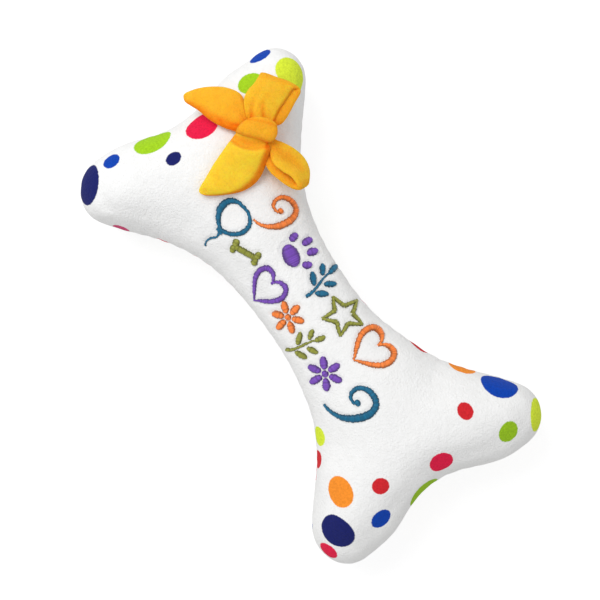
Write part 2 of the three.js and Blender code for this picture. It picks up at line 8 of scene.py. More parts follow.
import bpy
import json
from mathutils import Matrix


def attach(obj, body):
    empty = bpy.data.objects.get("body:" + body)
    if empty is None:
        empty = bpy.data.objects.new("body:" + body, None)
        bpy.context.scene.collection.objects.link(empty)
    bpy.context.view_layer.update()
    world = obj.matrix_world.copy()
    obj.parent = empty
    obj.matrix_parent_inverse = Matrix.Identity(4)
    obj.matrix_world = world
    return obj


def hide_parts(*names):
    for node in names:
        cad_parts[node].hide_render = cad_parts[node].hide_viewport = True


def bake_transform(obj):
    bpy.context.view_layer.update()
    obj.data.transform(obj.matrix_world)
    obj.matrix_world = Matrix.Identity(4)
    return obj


bl_info = {
    "name": "Stuffed Bone Toy",
    "version": (1, 0, 0),
    "blender": (4, 5, 0),
    "location": "3D View > Sidebar > Bone Toy",
    "description": "Dresses the solids of a bone-shaped plush toy with cloth, stitching and stuffing",
    "category": "Object",
}

import json
import math
from functools import lru_cache

import bpy
import numpy as np
from mathutils import Vector

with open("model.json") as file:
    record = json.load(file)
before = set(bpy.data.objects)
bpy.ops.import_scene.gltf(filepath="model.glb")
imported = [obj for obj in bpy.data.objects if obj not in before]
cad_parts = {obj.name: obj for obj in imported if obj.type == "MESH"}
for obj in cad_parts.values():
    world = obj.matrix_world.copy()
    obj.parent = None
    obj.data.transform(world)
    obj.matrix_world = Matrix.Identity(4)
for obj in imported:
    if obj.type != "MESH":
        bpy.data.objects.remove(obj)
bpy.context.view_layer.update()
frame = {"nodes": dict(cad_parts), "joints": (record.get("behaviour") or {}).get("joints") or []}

MM = 0.001
QUARTER_TURN = math.pi / 2
# Corners less than this apart are one
WELD = 1e-4

# The bone's outline and section: the same driving sizes as in the solids
BONE_LENGTH = 231.0
BONE_SPREAD = 127.0
WAIST_RADIUS = 22.8
END_HALF_THICKNESS = 28.0
KNUCKLE_HALF_THICKNESS = 25.0
KNUCKLE_RADIUS = 16.7
NOTCH_DEPTH = 9.3
REST_FLAT_DEPTH = 0.5
WAIST_HANDLE = 56.0
FLARE_HANDLE = 26.0
CHEEK_HANDLE = 25.0
NOTCH_HANDLE = 20.5
KNUCKLE_ARC = (math.radians(125), math.radians(2))
FLARE_SHARE = 0.5
JUNCTION_INSET = 37.5
CROWN_INSET = (28.5, 29.5)
PLUSH_THICKNESS = 2.0
SEAM_LEVEL = 0.15
ALLOWANCE_THICKNESS = 1.4
ALLOWANCE_WIDTH = 5.0
CLEARANCE = 0.45
FILL_DEPTH = PLUSH_THICKNESS + CLEARANCE

# The fill, the stabiliser and the squeaker that the fill makes room for, as in the solids
SHAFT_WAD_HALF = 60.0
SHAFT_WAD_EDGE = 1.9
KNUCKLE_WAD_START = SHAFT_WAD_HALF + 2 * CLEARANCE
STABILISER_HALF = 62.0
STABILISER_ANGLE = math.radians(60)
STABILISER_THICKNESS = 0.35
STABILISER_ROOM = 1.6
BULB_RADIUS = 12.5
BULB_HALF_LENGTH = 15.0
NECK_RADIUS = 6.2
NECK_END = 20.73

# The hand stitches that close the seam at the waist
LADDER_COUNT = 13
LADDER_PITCH = 3.0
LADDER_HALF_HEIGHT = 1.7
LADDER_SLANT = 0.35
LADDER_THREAD_RADIUS = 0.28

HALF_LENGTH = BONE_LENGTH / 2
HALF_SPREAD = BONE_SPREAD / 2
MID_HEIGHT = END_HALF_THICKNESS - REST_FLAT_DEPTH
KNUCKLE = np.array([HALF_LENGTH - KNUCKLE_RADIUS, HALF_SPREAD - KNUCKLE_RADIUS])
JUNCTION = np.array([HALF_LENGTH - JUNCTION_INSET, 0.0])
CROWN = np.array([HALF_LENGTH - CROWN_INSET[0], HALF_SPREAD - CROWN_INSET[1]])

# Steps of the plush grid, about 0.7 mm apart
SHAFT_STEPS = 86
BRANCH_STEPS = 60
TIP_STEPS = 54
CHEEK_STEPS = 73
RISE_STEPS = 72
HALVINGS = 26
LINING_STEPS = 8

# Points of the other grids
SHAFT_WAD_POINTS = (121, 71)
STABILISER_POINTS = (141, 71)
KNUCKLE_WAD_RISE_STEPS = 20
KNOT_POINTS = (61, 120)

# Relief of the stuffed plush
SETTLE_REACH = 7.5
PLAN_GRID = (137, 241)
# Where the stuffing sets the real outline off from the even one: x, y, the shift in x and y, and its reach
PULLS = (
    (0.0, 0.0, 0.0, -1.7, 42.0),
    (-109.0, 44.0, 3.3, 0.0, 16.0),
    (-107.0, -56.0, 0.8, 1.4, 15.0),
    (108.0, -54.0, 1.6, -0.4, 16.0),
    (108.0, 54.0, 0.2, 0.8, 16.0),
    (-104.0, -5.0, -0.9, 0.0, 18.0),
    (104.0, 0.0, -0.6, -0.2, 18.0),
    (45.0, 28.0, -0.3, 0.8, 16.0),
)
LUMP_HEIGHT = 0.4
LUMP_LENGTH = 26.0
NAP_HEIGHT = 0.035
NAP_LENGTH = 2.2
LUMP_SEED, NAP_SEED = 11, 12
RELIEF_FADE = 8.0
GROOVE_DEPTH = 1.1
GROOVE_REACH = 1.7
PUCKER_HEIGHT = 0.28
PUCKER_LENGTH = 7.5
PUCKER_REACH = 7.0

PRINT = {
    "lime": "#DDF03C",
    "apple": "#A4D422",
    "green": "#9CC824",
    "red": "#D62A32",
    "crimson": "#EA1C4A",
    "orange": "#FA9430",
    "navy": "#1D2468",
    "blue": "#0C44B0",
    "pink": "#D9507C",
}

# Dots printed on the front, by the place of each: x, y, height above the seam, then the dot's half
# length and half breadth, its turn in degrees from +X and its colour
FRONT_DOTS = (
    (55.5, -30.4, 8, 4.8, 4.8, 0, "lime"),
    (65.3, -37.6, 5, 4.4, 4.4, 0, "red"),
    (79.9, -40.0, 23, 8.0, 6.2, 0, "orange"),
    (95.5, -50.8, 19, 9.2, 7.5, 20, "navy"),
    (102.0, -59.8, 11, 5.0, 5.0, 0, "crimson"),
    (102.0, -30.2, 19, 4.4, 5.3, 0, "blue"),
    (88.7, -21.1, 24, 4.0, 4.1, 0, "red"),
    (103.4, -6.9, 8, 9.0, 9.0, 0, "green"),
    (95.0, 8.4, 19, 6.3, 5.8, 0, "crimson"),
    (102.5, 41.8, 19, 5.7, 4.9, -35, "green"),
    (106.5, 58.8, 9, 8.3, 8.3, 0, "lime"),
    (82.6, 52.8, 13, 9.2, 8.8, 18, "blue"),
    (83.0, 31.2, 25, 4.4, 3.7, -10, "red"),
    (67.8, 42.5, 5, 6.8, 6.8, 0, "orange"),
    (47.0, 31.5, 1.5, 5.6, 5.6, 0, "red"),
    (-93.4, 55.0, 15, 9.5, 8.8, 0, "lime"),
    (-110.6, 48.2, 9, 5.6, 5.6, 0, "blue"),
    (-100.2, 36.6, 20, 6.3, 6.3, 0, "apple"),
    (-95.6, 6.0, 20, 7.4, 8.5, -15, "crimson"),
    (-91.1, -13.2, 24, 3.2, 3.9, 0, "navy"),
    (-102.6, -17.6, 13, 7.4, 9.6, 0, "apple"),
    (-107.2, -38.1, 14, 4.6, 4.3, 0, "blue"),
    (-105.5, -52.3, 9, 10.2, 9.0, -35, "navy"),
    (-80.6, -54.4, 5, 4.2, 4.2, 0, "pink"),
    (-65.0, -40.0, 0, 4.6, 4.6, 0, "crimson"),
    (-5.0, 21.5, 0, 4.0, 4.0, 0, "blue"),
    (14.5, 22.0, 0, 4.0, 4.0, 0, "pink"),
)

# Dots on the back that show as slivers past the seam, in the same way, with heights below the seam
BACK_EDGE_DOTS = (
    (68.3, -44.0, 3, 5.0, 5.0, 0, "crimson"),
    (108.5, 18.0, 3, 5.0, 5.0, 0, "pink"),
    (-46.8, -30.6, 2, 5.0, 5.0, 0, "red"),
    (-106.4, 2.4, 4, 4.8, 4.8, 0, "pink"),
)
BACK_DOT_SEED = 5
BACK_DOT_COUNT = 64
BACK_DOT_RADII = (3.6, 4.4, 5.2, 6.6, 8.2)
BACK_DOT_GAP = 4.5
BACK_DOT_TRIES = 4000
FAR_FROM_DOTS = 20.0

# Satin stitching
THREAD_PITCH = 0.5
STEPS_PER_THREAD = 4
STITCH_HEIGHT = 1.35
STITCH_SINK = 0.65
STITCH_RAGGEDNESS = 0.24
STROKE_WEIGHT = 1.05
STITCH_SECTION_STEPS = 10
PRESS_DEPTH = 0.4
PRESS_REACH = 1.3
MAP_HALF = (66, 30)
MAP_STEP = 0.5
THREADS = {
    "orange": "#E47C36",
    "purple": "#7046A8",
    "teal": "#086082",
    "olive": "#878A36",
}

# The bow. Each free end is a band through stations of its two edges, in rows that run out from the knot: the
# left edge's x, y and z, then the right edge's, as seen looking out along the band
LEFT_TAIL = (
    (-79.5, 22.5, 58.3, -82.0, 26.5, 58.3),
    (-82.5, 19.5, 58.3, -87.2, 26.0, 57.2),
    (-88.2, 14.8, 57.6, -93.4, 28.9, 55.9),
    (-92.8, 12.2, 56.6, -98.6, 29.3, 54.9),
    (-98.4, 10.2, 54.9, -104.9, 25.4, 53.4),
    (-103.4, 8.9, 53.2, -109.3, 20.0, 52.0),
    (-107.7, 7.2, 51.8, -112.3, 14.2, 50.9),
    (-110.3, 6.3, 50.9, -113.4, 10.6, 50.5),
    (-111.8, 6.5, 50.5, -113.7, 9.0, 50.4),
    (-112.9, 7.2, 50.3, -113.4, 8.0, 50.3),
)
LOWER_TAIL = (
    (-73.5, 29.5, 57.0, -83.0, 23.5, 58.4),
    (-70.5, 27.4, 57.2, -83.6, 20.5, 58.4),
    (-67.9, 25.2, 57.2, -84.1, 17.5, 57.8),
    (-65.4, 22.0, 56.9, -82.6, 12.9, 57.9),
    (-62.2, 17.4, 56.7, -80.8, 7.8, 58.4),
    (-60.2, 12.9, 56.9, -78.2, 0.8, 58.6),
    (-59.7, 8.2, 57.0, -76.3, -3.4, 58.3),
    (-60.6, 2.8, 56.8, -74.7, -6.9, 57.8),
    (-64.1, -4.6, 56.6, -73.9, -9.0, 57.3),
    (-66.8, -8.8, 56.5, -73.2, -10.6, 57.0),
    (-68.7, -11.1, 56.6, -72.5, -11.8, 56.8),
    (-70.3, -12.2, 56.6, -71.5, -12.4, 56.6),
)
UPPER_LOOP = (
    (-83.5, 24.5, 58.8, -78.5, 30.5, 58.6),
    (-88.0, 25.6, 59.3, -78.2, 34.0, 58.5),
    (-90.5, 26.6, 59.0, -79.2, 36.0, 58.4),
    (-94.9, 29.4, 58.4, -80.5, 38.2, 58.3),
    (-97.2, 33.2, 58.0, -81.9, 41.2, 58.1),
    (-98.2, 37.2, 57.4, -83.6, 46.2, 57.6),
    (-99.7, 40.8, 56.7, -85.4, 51.2, 56.9),
    (-100.6, 42.5, 55.1, -83.9, 53.2, 56.0),
    (-99.0, 41.8, 53.5, -82.5, 52.7, 55.7),
    (-96.9, 38.2, 54.1, -80.0, 47.8, 56.4),
    (-95.0, 34.2, 54.7, -77.5, 42.9, 56.7),
    (-92.7, 31.2, 55.1, -76.2, 39.8, 56.7),
    (-88.7, 29.0, 55.7, -75.6, 37.2, 56.5),
    (-85.0, 27.5, 56.2, -76.2, 34.4, 56.2),
    (-82.0, 26.0, 57.0, -77.5, 30.5, 56.5),
)
RIGHT_LOOP = (
    (-73.0, 30.0, 56.6, -71.5, 26.5, 57.3),
    (-70.5, 31.0, 55.6, -68.3, 25.3, 57.2),
    (-68.5, 32.4, 54.8, -65.6, 23.9, 58.6),
    (-63.2, 35.3, 53.2, -61.5, 23.4, 59.7),
    (-56.7, 36.9, 51.4, -57.0, 24.7, 59.8),
    (-51.1, 35.7, 50.8, -52.3, 26.8, 59.3),
    (-46.8, 31.8, 50.4, -46.8, 26.4, 58.2),
    (-48.6, 31.6, 47.6, -48.4, 24.3, 57.4),
    (-52.5, 33.4, 47.2, -51.8, 22.4, 57.9),
    (-57.5, 34.6, 47.4, -56.2, 20.9, 58.3),
    (-63.2, 33.0, 49.4, -60.8, 20.0, 58.0),
    (-68.0, 30.0, 51.6, -65.0, 20.6, 56.9),
    (-72.5, 27.5, 54.7, -70.0, 24.0, 55.8),
)
ROOT_FOLD_MIDDLE = (-85.1, 27.6)
ROOT_FOLD_RADIUS = 16.0
LOOP_THICKNESS = 3.0
FLEECE_REST_GAP = 0.35
GATHER_REACH = 11.5

KNOT_OUTLINE = (
    (-86.4, 22.3), (-84.5, 17.9), (-80.8, 19.2),
    (-76.2, 23.1), (-71.5, 27.4), (-72.0, 31.0),
    (-76.7, 34.4), (-81.6, 32.2), (-84.9, 28.6),
)
KNOT_TURN = math.radians(41)
KNOT_HEIGHT = 10.6
KNOT_MIDDLE_HEIGHT = 58.4

# A band's section: the place across it, from -1 on the left to 1 and back, and the height there as a share of
# half its thickness, which is the root of 1 less the place to a power
BAND_BOXINESS = 4.4
BAND_PLACES = 27
ONE_FACE = np.sin(np.linspace(-1, 1, BAND_PLACES) * QUARTER_TURN)
ACROSS = np.concatenate([ONE_FACE, ONE_FACE[-2:0:-1]])
FACE = np.sqrt(1 - np.abs(ACROSS) ** BAND_BOXINESS) * np.repeat((1, -1), (BAND_PLACES, BAND_PLACES - 2))

# The stage: the camera looks straight down on the toy, which lies across the picture
CAMERA_PLACE = (-3.67, -2.72)
CAMERA_TURN = math.radians(55.0756)
KEY_PLACE = Vector((-0.84, -0.12, 1.25))
KEY_WIDTH = 0.9
SENSOR_WIDTH = 36.0


def mix(start, end, share):
    """The value at a share of the way from start to end."""
    return start + (end - start) * share


def ease(share):
    """Smooth step from 0 to 1: three shares squared less two shares cubed."""
    share = np.clip(share, 0, 1)
    return share * share * (3 - 2 * share)


def bell(offset, reach):
    """1 at no offset, falling to nothing past the reach: e to the minus square of their ratio."""
    return np.exp(-((offset / reach) ** 2))


def unit(vectors):
    """Vectors divided by their lengths."""
    return vectors / np.linalg.norm(vectors, axis=-1, keepdims=True)


def run_along(path):
    """The length of a path up to each of its points: the sum of the steps before it."""
    return np.concatenate([[0], np.cumsum(np.linalg.norm(np.diff(path, axis=0), axis=1))])


def turned(plan, degrees):
    """Places in plan, turned about the middle by an angle: each axis is its cosine and sine of the two."""
    c, s = math.cos(math.radians(degrees)), math.sin(math.radians(degrees))
    return np.stack([plan[..., 0] * c - plan[..., 1] * s, plan[..., 0] * s + plan[..., 1] * c], axis=-1)


def waves(points, wavelength, seed, count=28):
    """Smooth noise of about -1 to 1: sine waves in seeded directions, with lengths round the given one."""
    draw = np.random.default_rng(seed)
    direction = unit(draw.normal(size=(count, 3)))
    pace = 2 * math.pi / (wavelength * draw.uniform(0.7, 1.5, count))
    phase = draw.uniform(0, 2 * math.pi, count)
    flat = points.reshape(-1, 3)
    total = np.zeros(len(flat))
    for i in range(count):
        total += np.sin(flat @ (direction[i] * pace[i]) + phase[i])
    return (total * math.sqrt(2 / count) / 1.6).reshape(points.shape[:-1])


# Meshes


def surface(points, closed=True, flip=False):
    """A grid of points with its four-cornered faces, row after row.

    A closed grid joins its last column to its first, and a flipped one has its faces turned over.
    """
    rows, columns = points.shape[:2]
    row, column = np.indices((rows - 1, columns if closed else columns - 1))
    here, after = row * columns + column, row * columns + (column + 1) % columns
    corners = (here, after, after + columns, here + columns)
    faces = np.stack([corner.ravel() for corner in corners], axis=1)
    return points, faces[:, ::-1] if flip else faces


def welded(points, faces):
    """Makes corners that coincide one, and drops faces that fall flat.

    Returns the points to keep, each face's corners, and which of those corners differ from the next.
    """
    keys = np.round(points / WELD).astype(np.int64)
    _, first, inverse = np.unique(keys, axis=0, return_index=True, return_inverse=True)
    faces = inverse.reshape(-1)[faces]
    keep = faces != np.roll(faces, -1, axis=1)
    opposite = (faces[:, 0] == faces[:, 2]) | (faces[:, 1] == faces[:, 3])
    solid = (keep.sum(axis=1) >= 3) & ~opposite
    return first, faces[solid], keep[solid]


def enclosed_volume(points, faces):
    """Six times the volume within the faces, each cut into two triangles from its first corner."""
    a, b, c, d = (points[faces[:, i]] for i in range(4))
    return (a * np.cross(b, c)).sum() + (a * np.cross(c, d)).sum()


def make_piece(name, grids, material, body, attributes=None, uv=None):
    """One piece from surfaces in millimetres. Corners that meet are welded, and faces turn out."""
    starts = np.cumsum([0] + [points.size // 3 for points, _ in grids])
    points = np.vstack([points.reshape(-1, 3) for points, _ in grids])
    faces = np.vstack([faces + start for (_, faces), start in zip(grids, starts)])
    first, faces, keep = welded(points, faces)
    points = points[first]
    if enclosed_volume(points, faces) < 0:
        faces, keep = faces[:, ::-1], np.roll(keep[:, ::-1], -1, axis=1)
    totals = keep.sum(axis=1)
    mesh = bpy.data.meshes.new(name)
    mesh.vertices.add(len(points))
    mesh.vertices.foreach_set("co", (points * MM).astype(np.float32).ravel())
    mesh.loops.add(int(totals.sum()))
    mesh.loops.foreach_set("vertex_index", faces[keep].astype(np.int32))
    mesh.polygons.add(len(faces))
    mesh.polygons.foreach_set("loop_start", (np.cumsum(totals) - totals).astype(np.int32))
    mesh.polygons.foreach_set("use_smooth", np.ones(len(faces), bool))
    mesh.update(calc_edges=True)
    for key, values in (attributes or {}).items():
        add_attribute(mesh, key, values[first])
    if uv is not None:
        layer = mesh.uv_layers.new(name="UVMap")
        layer.uv.foreach_set("vector", uv[first][faces[keep]].astype(np.float32).ravel())
    mesh.materials.append(material)
    piece = bpy.data.objects.new(name, mesh)
    bpy.context.scene.collection.objects.link(piece)
    if body:
        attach(piece, body)
    return piece


def padded_piece(name, node_name, grids, material, body="bone", attributes=None):
    """A padded piece that stands for a solid of the model."""
    piece = make_piece(name, grids, material, body, attributes)
    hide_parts(node_name)
    return piece


def add_attribute(mesh, name, values):
    """A number or a colour for each vertex."""
    if values.ndim == 1:
        layer = mesh.attributes.new(name, "FLOAT", "POINT")
        layer.data.foreach_set("value", values.astype(np.float32))
        return
    layer = mesh.attributes.new(name, "FLOAT_COLOR", "POINT")
    layer.data.foreach_set("color", np.c_[values, np.ones(len(values))].astype(np.float32).ravel())


def capped(points):
    """A closed grid with a row more at each end, all of it at that end's middle."""
    ends = [np.repeat(points[i].mean(axis=0)[None, None], points.shape[1], axis=1) for i in (0, -1)]
    return np.concatenate([ends[0], points, ends[1]])


def tube(path, radius, sides):
    """A closed tube along an upright path: rings of a radius square to its direction, which end in points."""
    along = unit(np.gradient(path, axis=0))
    side = unit(np.cross(along, (1.0, 0.0, 0.0)))
    up = np.cross(side, along)
    angle = np.linspace(0, 2 * math.pi, sides, endpoint=False)[:, None]
    around = np.cos(angle) * side[:, None] + np.sin(angle) * up[:, None]
    return surface(capped(path[:, None] + radius * around))


# The bone's surface


def cubic_curve(corners, share):
    """A cubic curve: four corners weighted by the products of the share and what is left of it."""
    s = share[:, None]
    weights = ((1 - s) ** 3, 3 * (1 - s) ** 2 * s, 3 * (1 - s) * s**2, s**3)
    return sum(weight * np.asarray(corner) for weight, corner in zip(weights, corners))


def knuckle_point(angle):
    """A point of the knuckle's arc: its centre plus the radius in the direction of the angle."""
    return KNUCKLE + KNUCKLE_RADIUS * np.stack([np.cos(angle), np.sin(angle)], axis=-1)


def clockwise(angle):
    """The direction in which an arc runs clockwise at an angle."""
    return np.array([math.sin(angle), -math.cos(angle)])


def flare(share):
    """The outline from the waist to the knuckle's arc, a cubic curve that leaves the waist level."""
    start, stop = np.array([0.0, WAIST_RADIUS]), knuckle_point(KNUCKLE_ARC[0])
    into = stop - FLARE_HANDLE * clockwise(KNUCKLE_ARC[0])
    return cubic_curve((start, start + [WAIST_HANDLE, 0], into, stop), share)


def cheek(share):
    """The outline from the knuckle's arc to the middle of the end's notch, a cubic curve."""
    start = knuckle_point(KNUCKLE_ARC[1])
    notch = HALF_LENGTH - NOTCH_DEPTH
    out = start + CHEEK_HANDLE * clockwise(KNUCKLE_ARC[1])
    return cubic_curve((start, out, (notch, NOTCH_HANDLE), (notch, 0.0)), share)


def quarter_rays():
    """One quarter of the rays from the seam in to the crown line: seam point, crown point, half thickness."""
    shaft, branch, tip = (np.arange(n) / n for n in (SHAFT_STEPS, BRANCH_STEPS, TIP_STEPS))
    back = np.arange(CHEEK_STEPS + 1) / CHEEK_STEPS
    edge = np.vstack([
        flare(FLARE_SHARE * shaft),
        flare(mix(FLARE_SHARE, 1, branch)),
        knuckle_point(mix(*KNUCKLE_ARC, tip)),
        cheek(back),
    ])
    out = np.concatenate([0 * shaft, branch, 0 * tip + 1, 1 - back])
    core = JUNCTION + (CROWN - JUNCTION) * out[:, None]
    core[:SHAFT_STEPS] = JUNCTION * shaft[:, None]
    half = mix(END_HALF_THICKNESS, KNUCKLE_HALF_THICKNESS, ease(out))
    half[:SHAFT_STEPS] = mix(WAIST_RADIUS, END_HALF_THICKNESS, ease(shaft))
    return edge, core, half


@lru_cache
def all_rays():
    """The rays of the whole outline, clockwise from the waist: the quarter, mirrored into the other three."""
    edge, core, half = quarter_rays()
    order = [
        (slice(0, None), 1, 1),
        (slice(-2, None, -1), 1, -1),
        (slice(1, None), -1, -1),
        (slice(-2, 0, -1), -1, 1),
    ]
    parts = [(edge[cut] * (x, y), core[cut] * (x, y), half[cut]) for cut, x, y in order]
    return tuple(np.concatenate(part) for part in zip(*parts))


def skin(rays, depth, low, rise):
    """The skin at a depth in the cloth, over rises (rows) and rays (columns).

    In plan a point lies on its ray, at mix(depth over the ray's length, 1, 1 - cos rise) of the way from the
    seam to the crown. Its height is mix(low, half thickness - depth, sin rise).
    """
    edge, core, half = rays
    rise = np.atleast_1d(rise)[:, None]
    share = mix(depth / np.linalg.norm(edge - core, axis=1), 1, 1 - np.cos(rise))
    plan = edge + (core - edge) * share[..., None]
    height = mix(low, half - depth, np.sin(rise))
    return np.dstack([plan, height])


def grid_normals(points):
    """Directions square to a closed grid's rows and columns, and straight up where rows run together."""
    along = np.roll(points, -1, axis=1) - np.roll(points, 1, axis=1)
    up = np.gradient(points, axis=0)
    normal = np.cross(up, along)
    length = np.linalg.norm(normal, axis=2, keepdims=True)
    flat = length[..., 0] < 1e-6
    normal = normal / np.maximum(length, 1e-6)
    normal[flat] = (0, 0, 1)
    return normal


def lumps(points):
    """Rise of the skin over the stuffing, in slow waves."""
    return LUMP_HEIGHT * waves(points, LUMP_LENGTH, LUMP_SEED)


def plan_place(x, y):
    """Columns and rows of places on the plan grid, whose squares are 1 mm wide."""
    return x + (PLAN_GRID[1] - 1) / 2, y + (PLAN_GRID[0] - 1) / 2


def plan_squares(points):
    """The row and column of the plan grid's square under each point."""
    column, row = plan_place(points[:, 0], points[:, 1])
    return np.round(row).astype(int), np.round(column).astype(int)


def sampled(grid, x, y):
    """A plan grid's value at places, by the cubic weights of the four nearest rows and columns."""
    totals = 0
    column, row = plan_place(x, y)
    column = np.clip(column, 1, PLAN_GRID[1] - 3)
    row = np.clip(row, 1, PLAN_GRID[0] - 3)
    for i, row_weight in enumerate(cubic_weights(row % 1)):
        for j, column_weight in enumerate(cubic_weights(column % 1)):
            values = grid[row.astype(int) + i - 1, column.astype(int) + j - 1]
            totals = totals + row_weight * column_weight * values
    return totals


def cubic_weights(s):
    """Weights of four neighbours for a place at a share s between the middle two, on a cubic through both."""
    return (
        (-s + 2 * s**2 - s**3) / 2,
        (2 - 5 * s**2 + 3 * s**3) / 2,
        (s + 4 * s**2 - 3 * s**3) / 2,
        (s**3 - s**2) / 2,
    )


@lru_cache
def settled_map():
    """Height of the skin on the plan grid with its creases pulled smooth, because stuffing holds no crease.

    The heights are blurred, and the result is twice the blur less the blur of the blur, which keeps a round
    form's height. Each blur is divided by the same blur of where there is skin.
    """
    rise = np.linspace(0, QUARTER_TURN, 2 * RISE_STEPS + 1)
    points = skin(all_rays(), 0, SEAM_LEVEL, rise).reshape(-1, 3)
    total, count = np.zeros(PLAN_GRID), np.zeros(PLAN_GRID)
    np.add.at(total, plan_squares(points), points[:, 2])
    np.add.at(count, plan_squares(points), 1)
    held = (count > 0).astype(float)
    down, across = (np.arange(size)[:, None] - np.arange(size) for size in PLAN_GRID)
    down, across = bell(down, SETTLE_REACH), bell(across, SETTLE_REACH)
    weight = np.maximum(down @ held @ across, 1e-3)
    once = down @ (total / np.maximum(count, 1)) @ across / weight
    twice = down @ (once * held) @ across / weight
    return 2 * once - twice


def settled(x, y, height, fullness):
    """A height of the skin, drawn to the settled map's where it is full: 0 at the seam and 1 at the crown."""
    return mix(height, sampled(settled_map(), x, y), ease((fullness - 0.3) / 0.4))


def shaft_height(x, y):
    """Height of the skin above the seam at a place on the shaft.

    The place lies on the shaft ray of share s where x is mix(crown x, seam x, q), with q the place's y over
    the seam's. s is found by halving. The height is then mix(seam level, half thickness, sqrt(1 - q
    squared)), settled.
    """
    low, high = np.zeros_like(x), np.ones_like(x)
    for _ in range(HALVINGS):
        share = (low + high) / 2
        seam = flare(FLARE_SHARE * share)
        part = np.abs(y) / seam[:, 1]
        past = mix(JUNCTION[0] * share, seam[:, 0], part) > np.abs(x)
        high, low = np.where(past, share, high), np.where(past, low, share)
    part = np.clip(np.abs(y) / seam[:, 1], 0, 1)
    half = mix(WAIST_RADIUS, END_HALF_THICKNESS, ease(share))
    return settled(x, y, mix(SEAM_LEVEL, half, np.sqrt(1 - part**2)), 1 - part**2)


def on_shaft(plan, lift):
    """Points that stand a lift above the front of the shaft, square to it, over places in plan."""
    x, y = plan[:, 0], plan[:, 1]
    probe = 0.5
    slope_x = (shaft_height(x + probe, y) - shaft_height(x - probe, y)) / (2 * probe)
    slope_y = (shaft_height(x, y + probe) - shaft_height(x, y - probe)) / (2 * probe)
    normal = unit(np.stack([-slope_x, -slope_y, np.ones_like(x)], axis=1))
    seat = np.c_[plan, shaft_height(x, y)]
    return pulled(seat + normal * (lumps(seat) + lift)[:, None] + [0, 0, MID_HEIGHT])


def puckers(seam_line):
    """Rise of the skin along the seam: a sine along its length, with a wandering phase and size."""
    step = np.linalg.norm(np.roll(seam_line, -1, axis=0) - seam_line, axis=1)
    length = np.cumsum(step) - step[0]
    wander = 2.2 * waves(seam_line, 28, seed=21)
    size = 0.6 + 0.4 * waves(seam_line, 17, seed=22)
    return np.sin(2 * math.pi * length / PUCKER_LENGTH + wander) * size


@lru_cache
def sculpted_skin(front):
    """A panel's outer face above the seam.

    The settled skin is moved along its normals by lumps and nap, which fade out at the seam, by puckers and,
    on the front, by the press of the stitching. At the seam it is drawn in along its rays to a groove.
    """
    edge, core, _ = all_rays()
    rise = np.linspace(0, QUARTER_TURN, RISE_STEPS + 1)
    points = skin(all_rays(), 0, SEAM_LEVEL, rise)
    points[..., 2] = settled(points[..., 0], points[..., 1], points[..., 2], np.sin(rise[:, None]) ** 2)
    crown = points[-1].copy()
    normal = grid_normals(points)
    in_place = points if front else points * (1, 1, -1)
    height = points[..., 2]
    nap = NAP_HEIGHT * waves(in_place, NAP_LENGTH, NAP_SEED)
    shift = (lumps(in_place) + nap) * np.clip(height / RELIEF_FADE, 0, 1)
    hollow = 0.35 + 0.65 * seam_hollowness(edge)
    shift += PUCKER_HEIGHT * puckers(points[0]) * hollow * np.exp(-height / PUCKER_REACH)
    if front:
        shift -= PRESS_DEPTH * stitch_cover(points)
    points = points + normal * shift[..., None]
    points[..., :2] += unit(core - edge) * (GROOVE_DEPTH * bell(height, GROOVE_REACH))[..., None]
    # The crown line is shared by the rays of both sides, so its points only move up and down
    points[-1] = crown
    points[-1, :, 2] += shift[-1]
    return pulled(points)


def pulled(points):
    """Draws the skin aside where the stuffing fills the real toy less: each pull dies away past its reach."""
    for x, y, aside_x, aside_y, reach in PULLS:
        share = bell(points[..., 0] - x, reach) * bell(points[..., 1] - y, reach)
        points = points + share[..., None] * (aside_x, aside_y, 0)
    return points


def seam_hollowness(edge):
    """1 where the outline bends in, as at the waist and the notch, and 0 round the knuckles."""
    ahead = np.roll(edge, -6, axis=0) - edge
    behind = edge - np.roll(edge, 6, axis=0)
    turn = np.cross(behind, ahead) / (np.linalg.norm(behind, axis=1) * np.linalg.norm(ahead, axis=1))
    return ease(0.5 + 6 * turn)


def panel_points(front):
    """A panel as one closed grid: lining from crown to seam, turned-in allowance, and outer face.

    What would lie lower than the table is raised to it.
    """
    rays = all_rays()
    level = SEAM_LEVEL + ALLOWANCE_THICKNESS
    lining = skin(rays, PLUSH_THICKNESS, level, np.linspace(QUARTER_TURN, 0, LINING_STEPS + 1))
    allowance = [skin(rays, PLUSH_THICKNESS + ALLOWANCE_WIDTH, z, 0) for z in (level, SEAM_LEVEL)]
    points = np.concatenate([*(pulled(part) for part in (lining, *allowance)), sculpted_skin(front)])
    points = points * (1, 1, 1 if front else -1) + [0, 0, MID_HEIGHT]
    points[..., 2] = np.maximum(points[..., 2], 0)
    return points


@lru_cache
def front_height_map():
    """Highest point of the front's outer face in each square of the plan grid, for what lies on it."""
    points = sculpted_skin(True).reshape(-1, 3)
    heights = np.full(PLAN_GRID, MID_HEIGHT)
    np.maximum.at(heights, plan_squares(points), points[:, 2] + MID_HEIGHT)
    return heights


def front_height(points):
    """Height of the front's outer face under each point."""
    return sampled(front_height_map(), points[..., 0], points[..., 1])


# Printed dots


